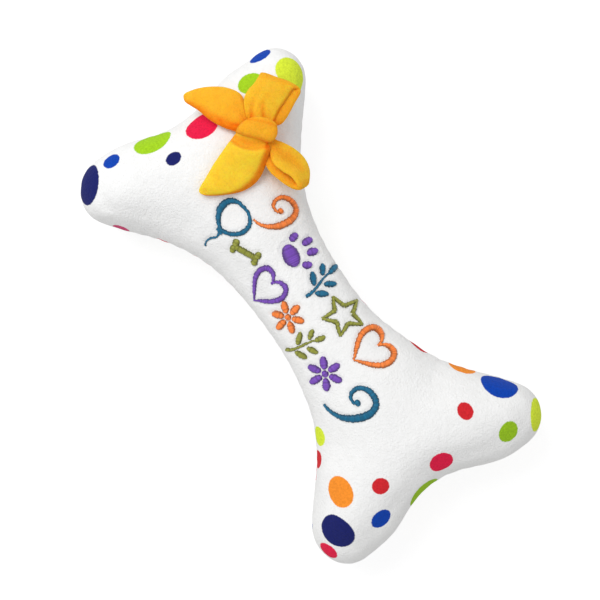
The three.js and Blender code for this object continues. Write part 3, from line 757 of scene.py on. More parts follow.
def dot_field(points, dots):
    """For each point, how far it lies outside the nearest dot's rim and that dot's colour.

    A dot is an egg round its centre: the offset is turned, divided by the half length, the half breadth and
    their mean for the third way, and its size less 1, times the mean, is the distance to the rim.
    """
    flat = points.reshape(-1, 3)
    nearest = np.full(len(flat), FAR_FROM_DOTS)
    colour = np.ones((len(flat), 3))
    for x, y, height, half_length, half_breadth, turn, name in dots:
        centre = flat[np.argmin(((flat - (x, y, height)) ** 2).sum(axis=1))]
        mean = (half_length + half_breadth) / 2
        offset = np.c_[turned(flat[:, :2] - centre[:2], -turn), flat[:, 2] - centre[2]]
        rim = (np.linalg.norm(offset / (half_length, half_breadth, mean), axis=1) - 1) * mean
        closer = rim < nearest
        nearest[closer] = rim[closer]
        colour[closer] = linear(PRINT[name])[:3]
    return nearest, colour


@lru_cache
def back_dots():
    """Dots all over the back: the slivers past the seam, then seeded places a gap away from the rest."""
    draw = np.random.default_rng(BACK_DOT_SEED)
    skin_points = sculpted_skin(False).reshape(-1, 3)
    names = list(PRINT)
    dots = list(BACK_EDGE_DOTS)
    places = np.array([dot[:3] for dot in dots])
    radii = np.array([dot[3] for dot in dots])
    for _ in range(BACK_DOT_TRIES):
        place = skin_points[draw.integers(len(skin_points))]
        radius = draw.choice(BACK_DOT_RADII)
        name = names[draw.integers(len(names))]
        gaps = np.linalg.norm(places - place, axis=1) - radii - radius
        if gaps.min() < BACK_DOT_GAP:
            continue
        dots.append((*place, radius, radius * draw.uniform(0.88, 1.0), draw.uniform(0, 180), name))
        places, radii = np.vstack([places, place]), np.append(radii, radius)
        if len(dots) == BACK_DOT_COUNT:
            break
    return tuple(dots)


# Embroidery


def oval(x, y, length, breadth, turn=0.0):
    """A filled oval as one satin column: along its length, as wide as an ellipse is there."""
    along = np.sin(np.linspace(-QUARTER_TURN, QUARTER_TURN, 25))
    path = turned(np.c_[along * length / 2, 0 * along], turn) + (x, y)
    return path, breadth * np.sqrt(np.clip(1 - along**2, 0.004, 1))


def bar(x0, y0, x1, y1, start=0.13, stop=None):
    """A straight satin column from one place to another, from one width to the other."""
    share = np.linspace(0, 1, 9)[:, None]
    path = mix(np.array([[x0, y0]]), np.array([[x1, y1]]), share)
    return path, mix(start, start if stop is None else stop, share[:, 0])


def curl(corners, start, middle, stop):
    """A curved satin column along a cubic curve, with widths at its start, middle and end."""
    share = np.linspace(0, 1, 41)
    swell = np.where(share < 0.5, mix(start, middle, ease(2 * share)), mix(middle, stop, ease(2 * share - 1)))
    return cubic_curve(corners, share), swell


def mirrored_stroke(stroke):
    """A column on the other side of its motif's middle line."""
    path, width = stroke
    return path * (-1, 1), width


def heart():
    """An outlined heart: each side is two curves, thick at the shoulder and thin at both points."""
    upper = curl(((0.0, 0.25), (0.06, 0.62), (0.62, 0.62), (0.52, 0.12)), 0.07, 0.17, 0.17)
    lower = curl(((0.52, 0.13), (0.46, -0.12), (0.16, -0.32), (0.0, -0.5)), 0.17, 0.13, 0.06)
    return [upper, lower, mirrored_stroke(upper), mirrored_stroke(lower)]


def paw():
    """A paw print: a wide pad and four toes."""
    toes = [oval(-0.40, 0.05, 0.26, 0.2, 115), oval(-0.15, 0.33, 0.3, 0.21, 98)]
    return [oval(0, -0.22, 0.62, 0.44), *toes, *(mirrored_stroke(toe) for toe in toes)]


def little_bone():
    """A bone: a bar with two round ends at each end."""
    ends = [oval(x, y, 0.3, 0.27, 90) for x in (-0.48, 0.48) for y in (-0.13, 0.13)]
    return [bar(-0.46, 0, 0.46, 0, 0.23), *ends]


def star():
    """An outlined star of five points."""
    angles = np.radians(90 + 36 * np.arange(11))
    reach = np.where(np.arange(11) % 2 == 0, 0.56, 0.25)
    corner = np.c_[np.cos(angles), np.sin(angles)] * reach[:, None]
    widths = [(0.07, 0.13) if i % 2 == 0 else (0.13, 0.07) for i in range(10)]
    return [bar(*corner[i], *corner[i + 1], *widths[i]) for i in range(10)]


def sprig():
    """A sprig: a bent stem with leaves on both sides and one at its tip."""
    stem = curl(((-0.06, -0.52), (0.08, -0.25), (-0.08, 0.1), (0.0, 0.3)), 0.09, 0.07, 0.05)
    leaves = [
        oval(0.2, -0.2, 0.36, 0.16, 38),
        oval(-0.21, -0.07, 0.36, 0.16, 142),
        oval(0.2, 0.12, 0.32, 0.15, 42),
        oval(-0.19, 0.25, 0.3, 0.14, 136),
        oval(0.0, 0.42, 0.3, 0.15, 90),
    ]
    return [stem, *leaves]


def balloon():
    """A balloon: an outlined oval, its neck and a wavy string."""
    left = curl(((0.0, 0.56), (-0.5, 0.56), (-0.42, 0.02), (0.0, -0.1)), 0.07, 0.15, 0.08)
    right = curl(((0.0, 0.56), (0.5, 0.56), (0.42, 0.02), (0.0, -0.1)), 0.07, 0.1, 0.08)
    neck = bar(-0.08, -0.14, 0.08, -0.14, 0.07)
    string = curl(((0.0, -0.16), (0.16, -0.28), (-0.16, -0.4), (0.02, -0.56)), 0.05, 0.045, 0.04)
    return [left, right, neck, string]


def flower():
    """A flower: six petals round a small eye."""
    petals = [oval(*turned(np.array([0.31, 0]), turn), 0.38, 0.22, turn) for turn in range(30, 390, 60)]
    return [*petals, oval(0, 0, 0.2, 0.18)]


def scroll():
    """A scroll: a hook that thickens through its bend and rolls in to an eye."""
    hook = curl(((-0.3, -0.5), (0.3, -0.5), (0.55, 0.5), (0.02, 0.48)), 0.06, 0.17, 0.13)
    roll = curl(((0.04, 0.48), (-0.42, 0.46), (-0.34, -0.06), (-0.02, 0.06)), 0.13, 0.1, 0.06)
    return [hook, roll, oval(-0.01, 0.12, 0.15, 0.13)]


# Where each motif is stitched: its drawing, thread, middle x and y, height and turn in degrees
MOTIFS = (
    (scroll, "orange", -42.5, 12.0, 19.5, 8),
    (paw, "purple", -22.5, 11.0, 18.0, -8),
    (sprig, "teal", -4.8, 12.0, 19.0, 14),
    (star, "olive", 13.8, 11.4, 18.0, 10),
    (heart, "orange", 34.5, 11.4, 17.5, -6),
    (balloon, "teal", -52.0, -11.8, 23.0, 6),
    (little_bone, "olive", -36.6, -10.2, 12.5, 26),
    (heart, "purple", -17.0, -12.0, 15.5, 8),
    (flower, "orange", -0.2, -10.6, 16.0, 12),
    (sprig, "olive", 15.0, -11.6, 18.5, -12),
    (flower, "purple", 31.4, -12.2, 17.0, 0),
    (scroll, "teal", 51.0, -10.6, 22.5, -6),
)


@lru_cache
def stitch_columns():
    """Every satin column of the embroidery, in plan millimetres: (thread, path, widths)."""
    columns = []
    for draw_motif, thread, x, y, size, turn in MOTIFS:
        for path, width in draw_motif():
            columns.append((thread, turned(path, turn) * size + (x, y), width * size * STROKE_WEIGHT))
    return tuple(columns)


def evenly(path, width, spacing):
    """A path and its widths at even steps along its length, and the length run at each."""
    run = run_along(path)
    at = np.linspace(0, run[-1], max(4, int(run[-1] / spacing)))
    places = np.stack([np.interp(at, run, path[:, i]) for i in range(2)], axis=1)
    return places, np.interp(at, run, width), at


@lru_cache
def stitch_map():
    """How far each square of the shaft's plan is pressed: 1 under a column, easing to 0 past its rim."""
    x, y = (np.arange(-half, half, MAP_STEP) for half in MAP_HALF)
    squares = np.dstack(np.meshgrid(x, y))
    cover = np.zeros(squares.shape[:2])
    for _, path, width in stitch_columns():
        places, widths, _ = evenly(path, width, spacing=0.6)
        near = np.linalg.norm(squares[:, :, None, :] - places, axis=3) - widths / 2
        cover = np.maximum(cover, ease(1 - near.min(axis=2) / PRESS_REACH))
    return cover


def stitch_cover(points):
    """The stitch map's value over each point of the front."""
    cover = stitch_map()
    column, row = (np.round((points[..., i] + MAP_HALF[i]) / MAP_STEP).astype(int) for i in range(2))
    return cover[np.clip(row, 0, cover.shape[0] - 1), np.clip(column, 0, cover.shape[1] - 1)]


def satin_column(path, width, seed):
    """One satin column on the shaft: rounded across, and ribbed along by a ridge for each thread.

    Across, with v from -1 to 1, the height is the root of 1 less v to the power 2.6. Along, each thread is a
    cosine ridge in height and in width, and each is drawn a little longer or shorter than its neighbours.
    """
    draw = np.random.default_rng(seed)
    places, widths, at = evenly(path, width, THREAD_PITCH / STEPS_PER_THREAD)
    across = turned(unit(np.gradient(places, axis=0)), 90)
    thread = at / THREAD_PITCH
    ridge = np.cos(2 * math.pi * thread)[:, None]
    ends = draw.uniform(-1, 1, (2, int(thread[-1]) + 3)) * STITCH_RAGGEDNESS
    ends = ends[:, np.floor(thread + 0.5).astype(int), None]
    v = np.cos(np.linspace(math.pi, 0, STITCH_SECTION_STEPS + 1))
    reach = widths[:, None] / 2 + 0.05 * ridge + np.where(v < 0, *ends) * np.abs(v)
    plan = places[:, None] + (v * np.maximum(reach, 0.1))[..., None] * across[:, None]
    height = np.minimum(STITCH_HEIGHT, 0.4 + widths * 0.38)[:, None] * (1 + 0.09 * ridge)
    height = height * np.sqrt(np.clip(1 - np.abs(v) ** 2.6, 0, 1))
    # The underside runs back a quarter millimetre lower, sunk in the plush
    lift = np.pad(height, ((0, 0), (0, len(v) - 2))) - STITCH_SINK
    lift[:, len(v):] -= 0.25
    plan = np.concatenate([plan, plan[:, -2:0:-1]], axis=1)
    points = on_shaft(plan.reshape(-1, 2), lift.ravel()).reshape(*lift.shape, 3)
    around, run = np.concatenate([v, v[-2:0:-1]]), np.pad(thread, 1, mode="edge")
    uv = np.dstack(np.broadcast_arrays(run[:, None], around))
    return *surface(capped(points)), uv


# Bow


def joint_of(flap):
    """The hinge at which a free end of the bow meets the bone."""
    return next(joint for joint in frame["joints"] if joint["child"] == flap)


@lru_cache
def bow_up():
    """The direction out of the plush under the bow: square to the axes of two of the record's lift hinges."""
    up = np.cross(joint_of("right_loop")["axis"], joint_of("upper_loop")["axis"])
    return up * np.sign(up[2]) / np.linalg.norm(up)


def smooth_path(stations, steps):
    """Curves through rows of numbers, paced by the square root of the distance from row to row.

    Between two rows each number follows the cubic that meets both, and that leaves each with the slope of the
    parabola through that row and its two neighbours.
    """
    stations = np.asarray(stations, float)
    gap = np.sqrt(np.linalg.norm(np.diff(stations, axis=0), axis=1))
    at = np.concatenate([[0], np.cumsum(gap)])
    slope = np.gradient(stations, at, axis=0)
    place = np.linspace(0, at[-1], steps)
    i = np.clip(np.searchsorted(at, place, side="right") - 1, 0, len(gap) - 1)
    span = gap[i][:, None]
    s = (place - at[i])[:, None] / span
    curve = mix(stations[i], stations[i + 1], s * s * (3 - 2 * s))
    return curve + span * s * (1 - s) * (slope[i] * (1 - s) - slope[i + 1] * s)


def band_base(stations, steps):
    """A flat band through stations of its two edges.

    A point is the middle of both edges plus ACROSS times half the way from the left edge to the right. Also
    gives the direction square to the band and the length run along it.
    """
    edges = smooth_path(stations, steps)
    middle, half = (edges[:, :3] + edges[:, 3:]) / 2, (edges[:, 3:] - edges[:, :3]) / 2
    up = unit(np.cross(half, np.gradient(middle, axis=0)))
    points = middle[:, None] + ACROSS[:, None] * half[:, None]
    return points, up[:, None], run_along(middle)[:, None]


def laid(points):
    """Points kept clear of the plush below them."""
    points[..., 2] = np.maximum(points[..., 2], front_height(points) + FLEECE_REST_GAP)
    return points


def sewn(base, up, rise, thickness, painted_shade):
    """Both faces of a band, with its ends closed, and the share of painted shade at each point.

    A point is the flat band's, raised by the rise and by half the thickness times FACE.
    """
    points = laid(base + (rise + thickness / 2 * FACE)[..., None] * up)
    painted_shade = np.broadcast_to(painted_shade, points.shape[:2])
    return capped(points), np.pad(painted_shade, ((1, 1), (0, 0)), mode="edge")


def gathers(from_knot, folds, depth):
    """Ridges that run out from the knot: a cosine across the band, dying away with distance."""
    return depth * np.cos(folds * math.pi * ACROSS) * bell(from_knot, GATHER_REACH)


def inside(open_from):
    """1 on a loop's inner face, and 0 on its outer face and on the strip that lies open at its right."""
    return np.where(FACE < 0, ease((open_from - ACROSS) / 0.14), 0)


def plump(tip):
    """The crown of a tail's section, 1 along its middle and 0 at its edges, which dies away at its tip."""
    return (1 - ACROSS**2) * ease(tip / 10)


def left_tail():
    """The tail that hangs over the knuckle's edge: a leaf, crowned across and gathered at the knot.

    One crease runs out from the knot near its lower edge.
    """
    base, up, run = band_base(LEFT_TAIL, steps=90)
    tip = run[-1] - run
    crease = bell(ACROSS + mix(0.42, 0.72, ease(run / 16)), 0.13) * bell(run, 14)
    rise = 1.1 * plump(tip) + gathers(run, folds=2.5, depth=0.5) - 0.8 * crease
    rise = rise + 0.16 * waves(base, 9, seed=51)
    # Painted shade: deeper near the knot, along the lower edge and in the crease
    painted_shade = 0.36 + 0.5 * (bell(run, 9) + bell(ACROSS + 1, 0.3) + crease)
    return sewn(base, up, rise, mix(1.2, 3.5, ease(tip / 7)), painted_shade)


def lower_tail():
    """The tail that lies down the shaft: a plump leaf, folded across its root, its right edge bent down.

    The fold is a ridge along an arc in plan, steep towards the knot, with a valley beside it.
    """
    base, up, run = band_base(LOWER_TAIL, steps=110)
    tip = run[-1] - run
    out = np.linalg.norm(base[..., :2] - ROOT_FOLD_MIDDLE, axis=2) - ROOT_FOLD_RADIUS
    ridge = bell(out, np.where(out > 0, 5.5, 1.3))
    valley = bell(out + 4.2, 2.6)
    bent = ease((-ACROSS - 0.62) / 0.38) * ease(tip / 8)
    rise = 2.1 * ridge - 1.3 * valley + plump(tip) - 1.1 * bent + 0.16 * waves(base, 9, seed=52)
    # Painted shade: deeper in the valley, along the fold and on the right edge that bends down away from the
    # light
    painted_shade = 0.03 + 0.5 * valley + 0.3 * bell(out + 1.6, 0.8) + 0.8 * ease((-ACROSS - 0.6) / 0.25)
    return sewn(base, up, rise, mix(1.4, 4.0, ease(tip / 7)), painted_shade)


def upper_loop():
    """The loop at the knuckle's crown: out on top, round its fold, and back beneath, a little to the right.

    Two creases run out from the knot on its top, one long and one short.
    """
    base, up, run = band_base(UPPER_LOOP, steps=150)
    from_knot = np.minimum(run, run[-1] - run)
    on_top = ease((run[-1] / 2 - run) / 4)
    long_crease = bell(ACROSS - mix(0.3, 0.05, ease(from_knot / 14)), 0.12) * bell(from_knot, 12.5)
    short_crease = bell(ACROSS + mix(0.6, 0.45, ease(from_knot / 12)), 0.11) * bell(from_knot, 9.5)
    creases = (long_crease + 0.8 * short_crease) * on_top
    rise = gathers(from_knot, folds=2.0, depth=0.4) + 0.5 * (1 - ACROSS**2) * on_top - 0.85 * creases
    rise = rise + 0.14 * waves(base, 10, seed=53)
    # Painted shade: deeper beneath the fold, at the top's right edge, near the knot, in the creases and on
    # the covered inner face
    edge = 0.26 + 0.4 * ease((ACROSS - 0.86) / 0.1)
    painted_shade = mix(0.5, edge, on_top) + 0.35 * bell(from_knot, 6) + 0.45 * creases
    painted_shade = np.maximum(painted_shade, 0.95 * inside(open_from=0.66))
    return sewn(base, up, rise, mix(2.0, LOOP_THICKNESS, ease(from_knot / 8)), painted_shade)


def right_loop():
    """The loop towards the shaft: it stands on its edge, dented along its top, a slit between its layers."""
    base, up, run = band_base(RIGHT_LOOP, steps=150)
    from_knot = np.minimum(run, run[-1] - run)
    on_top = ease((run[-1] / 2 - run) / 3)
    dent = bell(ACROSS + 0.05, 0.42) * ease(from_knot / 6) * bell(from_knot - 12, 9)
    rise = gathers(from_knot, folds=2.0, depth=0.3) + 0.12 * waves(base, 9, seed=54) - dent * on_top
    # Painted shade: deeper beneath the top layer, in the dent, near the knot and on the covered inner face
    painted_shade = mix(0.45, 0.3 * dent + 0.24, on_top) + 0.4 * bell(from_knot, 6)
    painted_shade = np.maximum(painted_shade, inside(open_from=0.52))
    return sewn(base, up, rise, mix(2.0, LOOP_THICKNESS, ease(from_knot / 7)), painted_shade)


def knot_points():
    """The tied knot: a closed outline in plan, drawn in towards its middle above and below, with one crease.

    With r the rise from -90 to 90 degrees, a point is the middle plus the way to the outline times the cosine
    of r to the power 0.36, plus half the knot's height times the signed root of the sine of r.
    """
    # The middle one of three laps is kept, so that it closes without a corner
    laps = np.vstack([KNOT_OUTLINE * 3, KNOT_OUTLINE[:1]])
    rows, columns = KNOT_POINTS
    outline = smooth_path(laps, 3 * columns + 1)[columns : 2 * columns]
    middle = outline.mean(axis=0)
    rise = np.linspace(-QUARTER_TURN, QUARTER_TURN, rows)[:, None]
    fullness = np.sqrt(np.abs(np.sin(rise)))
    plan = middle + (outline - middle) * (np.cos(rise) ** 0.36)[..., None]
    up = bow_up()
    level = KNOT_MIDDLE_HEIGHT - 0.5 * (plan - middle) @ up[:2] / up[2]
    across = (plan - middle) @ (-math.sin(KNOT_TURN), math.cos(KNOT_TURN))
    crease = bell(across - 3.2, 0.9) * (rise > 0)
    lift = KNOT_HEIGHT / 2 * np.sign(rise) * fullness - 0.3 * crease
    points = np.dstack([plan, level]) + lift[..., None] * up
    points = laid(points + 0.14 * waves(points, 6, seed=55)[..., None] * up)
    # Painted shade: mixed in all over the knot, and more on its sloping sides and in its crease
    return points, 0.42 + 0.2 * crease + 0.4 * (1 - fullness)


FREE_ENDS = {
    "upper_loop": ("bow_loop_upper", upper_loop),
    "right_loop": ("bow_loop_right", right_loop),
    "left_tail": ("bow_tail_left", left_tail),
    "lower_tail": ("bow_tail_lower", lower_tail),
}


# Fibrefill, stabiliser and hand stitches


def fluffed(points, depth):
    """Dents of a depth in the stuffing, which has no lump outwards, so that it stays within its place."""
    return depth * (0.5 - 0.5 * np.clip(waves(points, 9, seed=31) + 0.5 * waves(points, 4, seed=32), -1, 1))


def squeaker_hollow(x, y):
    """Half the height of the squeaker's room at a place in plan: a round bulb, and its neck to one side."""
    bulb = (BULB_RADIUS + CLEARANCE) * np.sqrt(np.clip(1 - (x / (BULB_HALF_LENGTH + CLEARANCE)) ** 2, 0, 1))
    at_neck = (x > 0) & (x < NECK_END + CLEARANCE)
    around = np.where(at_neck, np.maximum(bulb, NECK_RADIUS + CLEARANCE), bulb)
    return np.sqrt(np.clip(around**2 - y**2, 0, None))


def shaft_rays(half_length, steps):
    """The shaft's rays out to a length each way: side in x, seam points, crown x and half thickness."""
    share = np.linspace(-1, 1, steps)[:, None] * (half_length / JUNCTION[0])
    near = np.abs(share)
    half = mix(WAIST_RADIUS, END_HALF_THICKNESS, ease(near))
    return np.sign(share), flare(FLARE_SHARE * near[:, 0]), near * JUNCTION[0], half


def shaft_wad(front):
    """Half of the shaft's fill: between the skin's underside and the middle, hollowed for the squeaker."""
    side, seam, crown_x, half = shaft_rays(SHAFT_WAD_HALF, SHAFT_WAD_POINTS[0])
    part = np.sin(np.linspace(-1, 1, SHAFT_WAD_POINTS[1]) * QUARTER_TURN)[None, :]
    arch = np.sqrt(1 - part**2)
    inner = part * (1 - FILL_DEPTH / np.hypot(seam[:, :1] - crown_x, seam[:, 1:]))
    x = np.clip(mix(crown_x, seam[:, :1], np.abs(inner)) * side, -SHAFT_WAD_HALF, SHAFT_WAD_HALF)
    y = seam[:, 1:] * inner
    stabiliser = STABILISER_ROOM * ease((0.8 - np.abs(part)) * 6) if front else 0
    top = mix(SHAFT_WAD_EDGE, half - FILL_DEPTH - stabiliser, arch)
    floor = np.maximum(squeaker_hollow(x, y), CLEARANCE / 2)
    top = np.maximum(top - fluffed(np.dstack([x, y, top]), depth=1.1) * arch, floor + 0.5)
    sheets = pulled(np.dstack([x, y, top])), np.dstack([x, y, floor])
    ring = np.concatenate([sheets[0], sheets[1][:, ::-1]], axis=1)
    near_cap, far_cap = (np.stack([sheet[i] for sheet in sheets]) for i in (0, -1))
    grids = (surface(ring), surface(near_cap, False, True), surface(far_cap, False))
    return [(points * (1, 1, 1 if front else -1) + [0, 0, MID_HEIGHT], faces) for points, faces in grids]


def knuckle_wad(side_x, side_y):
    """The fill of one knuckle: sections from the lower crown round the seam to the upper crown.

    They stand on the quarter's rays from the shaft wad's end to the notch. A wall from the lower to the upper
    half of the end sections and of the crown line closes them.
    """
    first = math.ceil(SHAFT_STEPS * KNUCKLE_WAD_START / JUNCTION[0])
    rays = [part[first::3] for part in quarter_rays()]
    seam_row = KNUCKLE_WAD_RISE_STEPS
    points = skin(rays, FILL_DEPTH, 0, np.linspace(-QUARTER_TURN, QUARTER_TURN, 2 * seam_row + 1))
    points[..., :2] = np.maximum(points[..., :2], (KNUCKLE_WAD_START, 0.3))
    # Dents run towards a place 12 mm in from the knuckle's centre both ways
    inward = unit(np.append(KNUCKLE - 12, 0.0) - points)
    free = (points[..., 0] > KNUCKLE_WAD_START + 1.1) & (points[..., 1] > 1.5)
    points = points + inward * (fluffed(points * (side_x, side_y, 1), depth=1.2) * free)[..., None]
    on_axis = rays[1][:, 1] < 0.01
    upper = [points[seam_row:, 0], points[-1, on_axis][1:], points[: seam_row - 1 : -1, -1]]
    lower = [points[seam_row::-1, 0], points[0, on_axis][1:], points[: seam_row + 1, -1]]
    wall = mix(np.concatenate(lower), np.concatenate(upper), np.linspace(0, 1, 7)[:, None, None])
    grids = (surface(points, False), surface(wall, False, True))
    return [(pulled(points * (side_x, side_y, 1)) + [0, 0, MID_HEIGHT], faces) for points, faces in grids]


def stabiliser_grid():
    """The stabiliser under the crown: a sheet one cloth's depth below the skin, cockled by the stitching."""
    side, seam, crown_x, half = shaft_rays(STABILISER_HALF, STABILISER_POINTS[0])
    angle = np.linspace(-1, 1, STABILISER_POINTS[1])[None, :] * STABILISER_ANGLE
    part = np.sin(angle)
    depth = FILL_DEPTH + 0.3
    x = mix(crown_x, seam[:, :1], np.abs(part)) * side
    y = (seam[:, 1:] - depth) * part
    height = np.cos(angle) * (half - depth)
    height = height + 0.16 * waves(np.dstack([x, y, height]), 6, seed=41)
    x = np.clip(x, -STABILISER_HALF, STABILISER_HALF)
    return pulled(np.dstack([x, y, height + MID_HEIGHT]))


def ladder_stitches():
    """The closing seam's hand stitches: short bars of thread across the groove, along the waist's edge."""
    seam = flare(FLARE_SHARE * np.linspace(0, 1, 41))
    share = np.linspace(-1, 1, 9)
    grids = []
    for x in LADDER_PITCH * (np.arange(LADDER_COUNT) - (LADDER_COUNT - 1) / 2):
        y = GROOVE_DEPTH - 0.35 - np.interp(abs(x), *seam.T)
        height = MID_HEIGHT + LADDER_HALF_HEIGHT * share
        path = np.stack([x + LADDER_SLANT * share, y - 0.25 * (1 - share**2), height], axis=1)
        grids.append(tube(pulled(path), LADDER_THREAD_RADIUS, sides=6))
    return grids


# Materials

# Sockets of a node that mixes colours
MIX_SHARE, MIX_START, MIX_END = 0, 6, 7


def linear(colour):
    """An sRGB hex colour as linear red, green, blue and full alpha."""
    parts = [int(colour[i : i + 2], 16) / 255 for i in (1, 3, 5)]
    return tuple(p / 12.92 if p <= 0.04045 else ((p + 0.055) / 1.055) ** 2.4 for p in parts) + (1.0,)


def node(tree, kind, settings=None, inputs=None):
    """Adds a node with its settings. An input takes a value, a socket, or a node, whose output it links."""
    made = tree.nodes.new(kind)
    for key, value in (settings or {}).items():
        setattr(made, key, value)
    for key, value in (inputs or {}).items():
        if isinstance(value, bpy.types.Node):
            value = next(output for output in value.outputs if output.enabled)
        if isinstance(value, bpy.types.NodeSocket):
            tree.links.new(value, made.inputs[key])
        else:
            made.inputs[key].default_value = value
    return made


def new_material(name):
    """A material and its emptied tree."""
    material = bpy.data.materials.new(name)
    material.use_nodes = True
    material.node_tree.nodes.clear()
    return material, material.node_tree


def grains(place, size, detail, roughness=0.5):
    """A noise texture's inputs for grains of a size in millimetres, on coordinates in metres."""
    return {"Vector": place, "Scale": 1 / (size * MM), "Detail": detail, "Roughness": roughness}


def printed_plush(settings):
    """Knitted polyester plush, sheared and then printed: a matt nap that breaks up each dot's rim."""
    material, tree = new_material("printed_sheared_plush")
    place = node(tree, "ShaderNodeTexCoord").outputs["Object"]
    # Tufts of the nap are 0.4 mm wide and drawn at 1 mm, which is two pixels of the photo's frame
    tuft = node(tree, "ShaderNodeTexNoise", {}, grains(place, size=1.0, detail=2.0, roughness=0.6))
    pebble = node(tree, "ShaderNodeTexNoise", {}, grains(place, size=3.4, detail=2.0))
    edge = node(tree, "ShaderNodeAttribute", {"attribute_name": "dot_edge"}).outputs["Fac"]
    rough_edge = node(tree, "ShaderNodeMath", {"operation": "MULTIPLY_ADD"}, {0: tuft, 1: 0.7, 2: edge})
    ink = node(
        tree, "ShaderNodeMapRange", {"interpolation_type": "SMOOTHSTEP"},
        {"Value": rough_edge, "From Min": 0.62, "From Max": 0.08},
    )
    white = node(
        tree, "ShaderNodeMix", {"data_type": "RGBA"},
        {MIX_SHARE: pebble, MIX_START: settings.shade, MIX_END: settings.colour},
    )
    dye = node(tree, "ShaderNodeAttribute", {"attribute_name": "dot_colour"}).outputs["Color"]
    value = node(tree, "ShaderNodeMapRange", {}, {"Value": tuft, "To Min": 0.7, "To Max": 1.3})
    dyed = node(tree, "ShaderNodeHueSaturation", {}, {"Value": value, "Color": dye})
    base = node(
        tree, "ShaderNodeMix", {"data_type": "RGBA"}, {MIX_SHARE: ink, MIX_START: white, MIX_END: dyed}
    )
    tufts = node(tree, "ShaderNodeBump", {}, {"Strength": 1.0, "Distance": 0.5 * MM, "Height": tuft})
    nap = node(
        tree, "ShaderNodeBump", {},
        {"Strength": 0.35, "Distance": 0.6 * MM, "Height": pebble, "Normal": tufts},
    )
    shader = node(
        tree, "ShaderNodeBsdfPrincipled", {},
        {
            "Base Color": base,
            "Roughness": 1.0,
            "Specular IOR Level": 0.04,
            "Sheen Weight": 0.05,
            "Sheen Roughness": 0.6,
            "Normal": nap,
        },
    )
    node(tree, "ShaderNodeOutputMaterial", {}, {"Surface": shader})
    return material


def brushed_fleece(settings):
    """Polyester fleece, knitted and brushed on both faces: short fuzz, lit through.

    Painted shade: the painted_shade attribute mixes in a deeper orange where folds, edges, the loops' inner
    faces and the knot's sides lie in shade, with clouds of it at random.
    """
    material, tree = new_material("brushed_polyester_fleece")
    place = node(tree, "ShaderNodeTexCoord").outputs["Object"]
    fuzz = node(tree, "ShaderNodeTexNoise", {}, grains(place, size=1.0, detail=3.0, roughness=0.7))
    cloud = node(tree, "ShaderNodeTexNoise", {}, grains(place, size=4.0, detail=2.0))
    painted_shade = node(tree, "ShaderNodeAttribute", {"attribute_name": "painted_shade"}).outputs["Fac"]
    uneven = node(tree, "ShaderNodeMath", {"operation": "MULTIPLY_ADD"}, {0: cloud, 1: 0.34, 2: -0.13})
    share = node(tree, "ShaderNodeMath", {"operation": "ADD", "use_clamp": True}, {0: painted_shade, 1: uneven})
    # Painted shade: the fleece's colour mixed towards its shade colour by the painted shade share
    painted_shade_tone = node(
        tree, "ShaderNodeMix", {"data_type": "RGBA"},
        {MIX_SHARE: share, MIX_START: settings.colour, MIX_END: settings.shade},
    )
    value = node(tree, "ShaderNodeMapRange", {}, {"Value": fuzz, "To Min": 0.74, "To Max": 1.28})
    bump = node(tree, "ShaderNodeBump", {}, {"Strength": 0.9, "Distance": 0.45 * MM, "Height": fuzz})
    shader = node(
        tree, "ShaderNodeBsdfPrincipled", {},
        {
            "Base Color": node(tree, "ShaderNodeHueSaturation", {}, {"Value": value, "Color": painted_shade_tone}),
            "Roughness": 0.95,
            "Specular IOR Level": 0.06,
            "Sheen Weight": 0.6,
            "Sheen Roughness": 0.3,
            "Sheen Tint": linear("#FFC850"),
            "Subsurface Weight": 0.6,
            "Subsurface Radius": (1.0, 0.4, 0.08),
            "Subsurface Scale": 4.0 * MM,
            "Normal": bump,
        },
    )
    node(tree, "ShaderNodeOutputMaterial", {}, {"Surface": shader})
    return material


def embroidery_thread(name, colour):
    """Trilobal polyester thread, laid as satin stitch: each thread has its own shade and a soft gloss, with a
    painted highlight along each column's middle and painted shade towards its edges.
    """
    material, tree = new_material("satin_stitched_polyester_thread_" + name)
    uv = node(tree, "ShaderNodeUVMap", {"uv_map": "UVMap"})
    along, across, _ = node(tree, "ShaderNodeSeparateXYZ", {}, {0: uv}).outputs
    nearest = node(tree, "ShaderNodeMath", {"operation": "ROUND"}, {0: along})
    shade = node(tree, "ShaderNodeTexWhiteNoise", {"noise_dimensions": "1D"}, {"W": nearest})
    value = node(tree, "ShaderNodeMapRange", {}, {"Value": shade, "To Min": 0.76, "To Max": 1.24})
    # Painted highlight and painted shade: brighter along a column's middle and darker towards both edges,
    # where the threads dive into the plush and lie in each other's shade
    out_to_edge = node(tree, "ShaderNodeMath", {"operation": "ABSOLUTE"}, {0: across})
    painted_highlight_and_shade = node(
        tree, "ShaderNodeMapRange", {"interpolation_type": "SMOOTHSTEP"},
        {"Value": out_to_edge, "From Min": 0.3, "From Max": 1.0, "To Min": 1.2, "To Max": 0.45},
    )
    value = node(tree, "ShaderNodeMath", {"operation": "MULTIPLY"}, {0: value, 1: painted_highlight_and_shade})
    base = node(tree, "ShaderNodeHueSaturation", {}, {"Value": value, "Color": linear(colour)})
    shader = node(
        tree, "ShaderNodeBsdfPrincipled", {},
        {"Base Color": base, "Roughness": 0.38, "Specular IOR Level": 0.3, "Sheen Weight": 0.05},
    )
    node(tree, "ShaderNodeOutputMaterial", {}, {"Surface": shader})
    return material


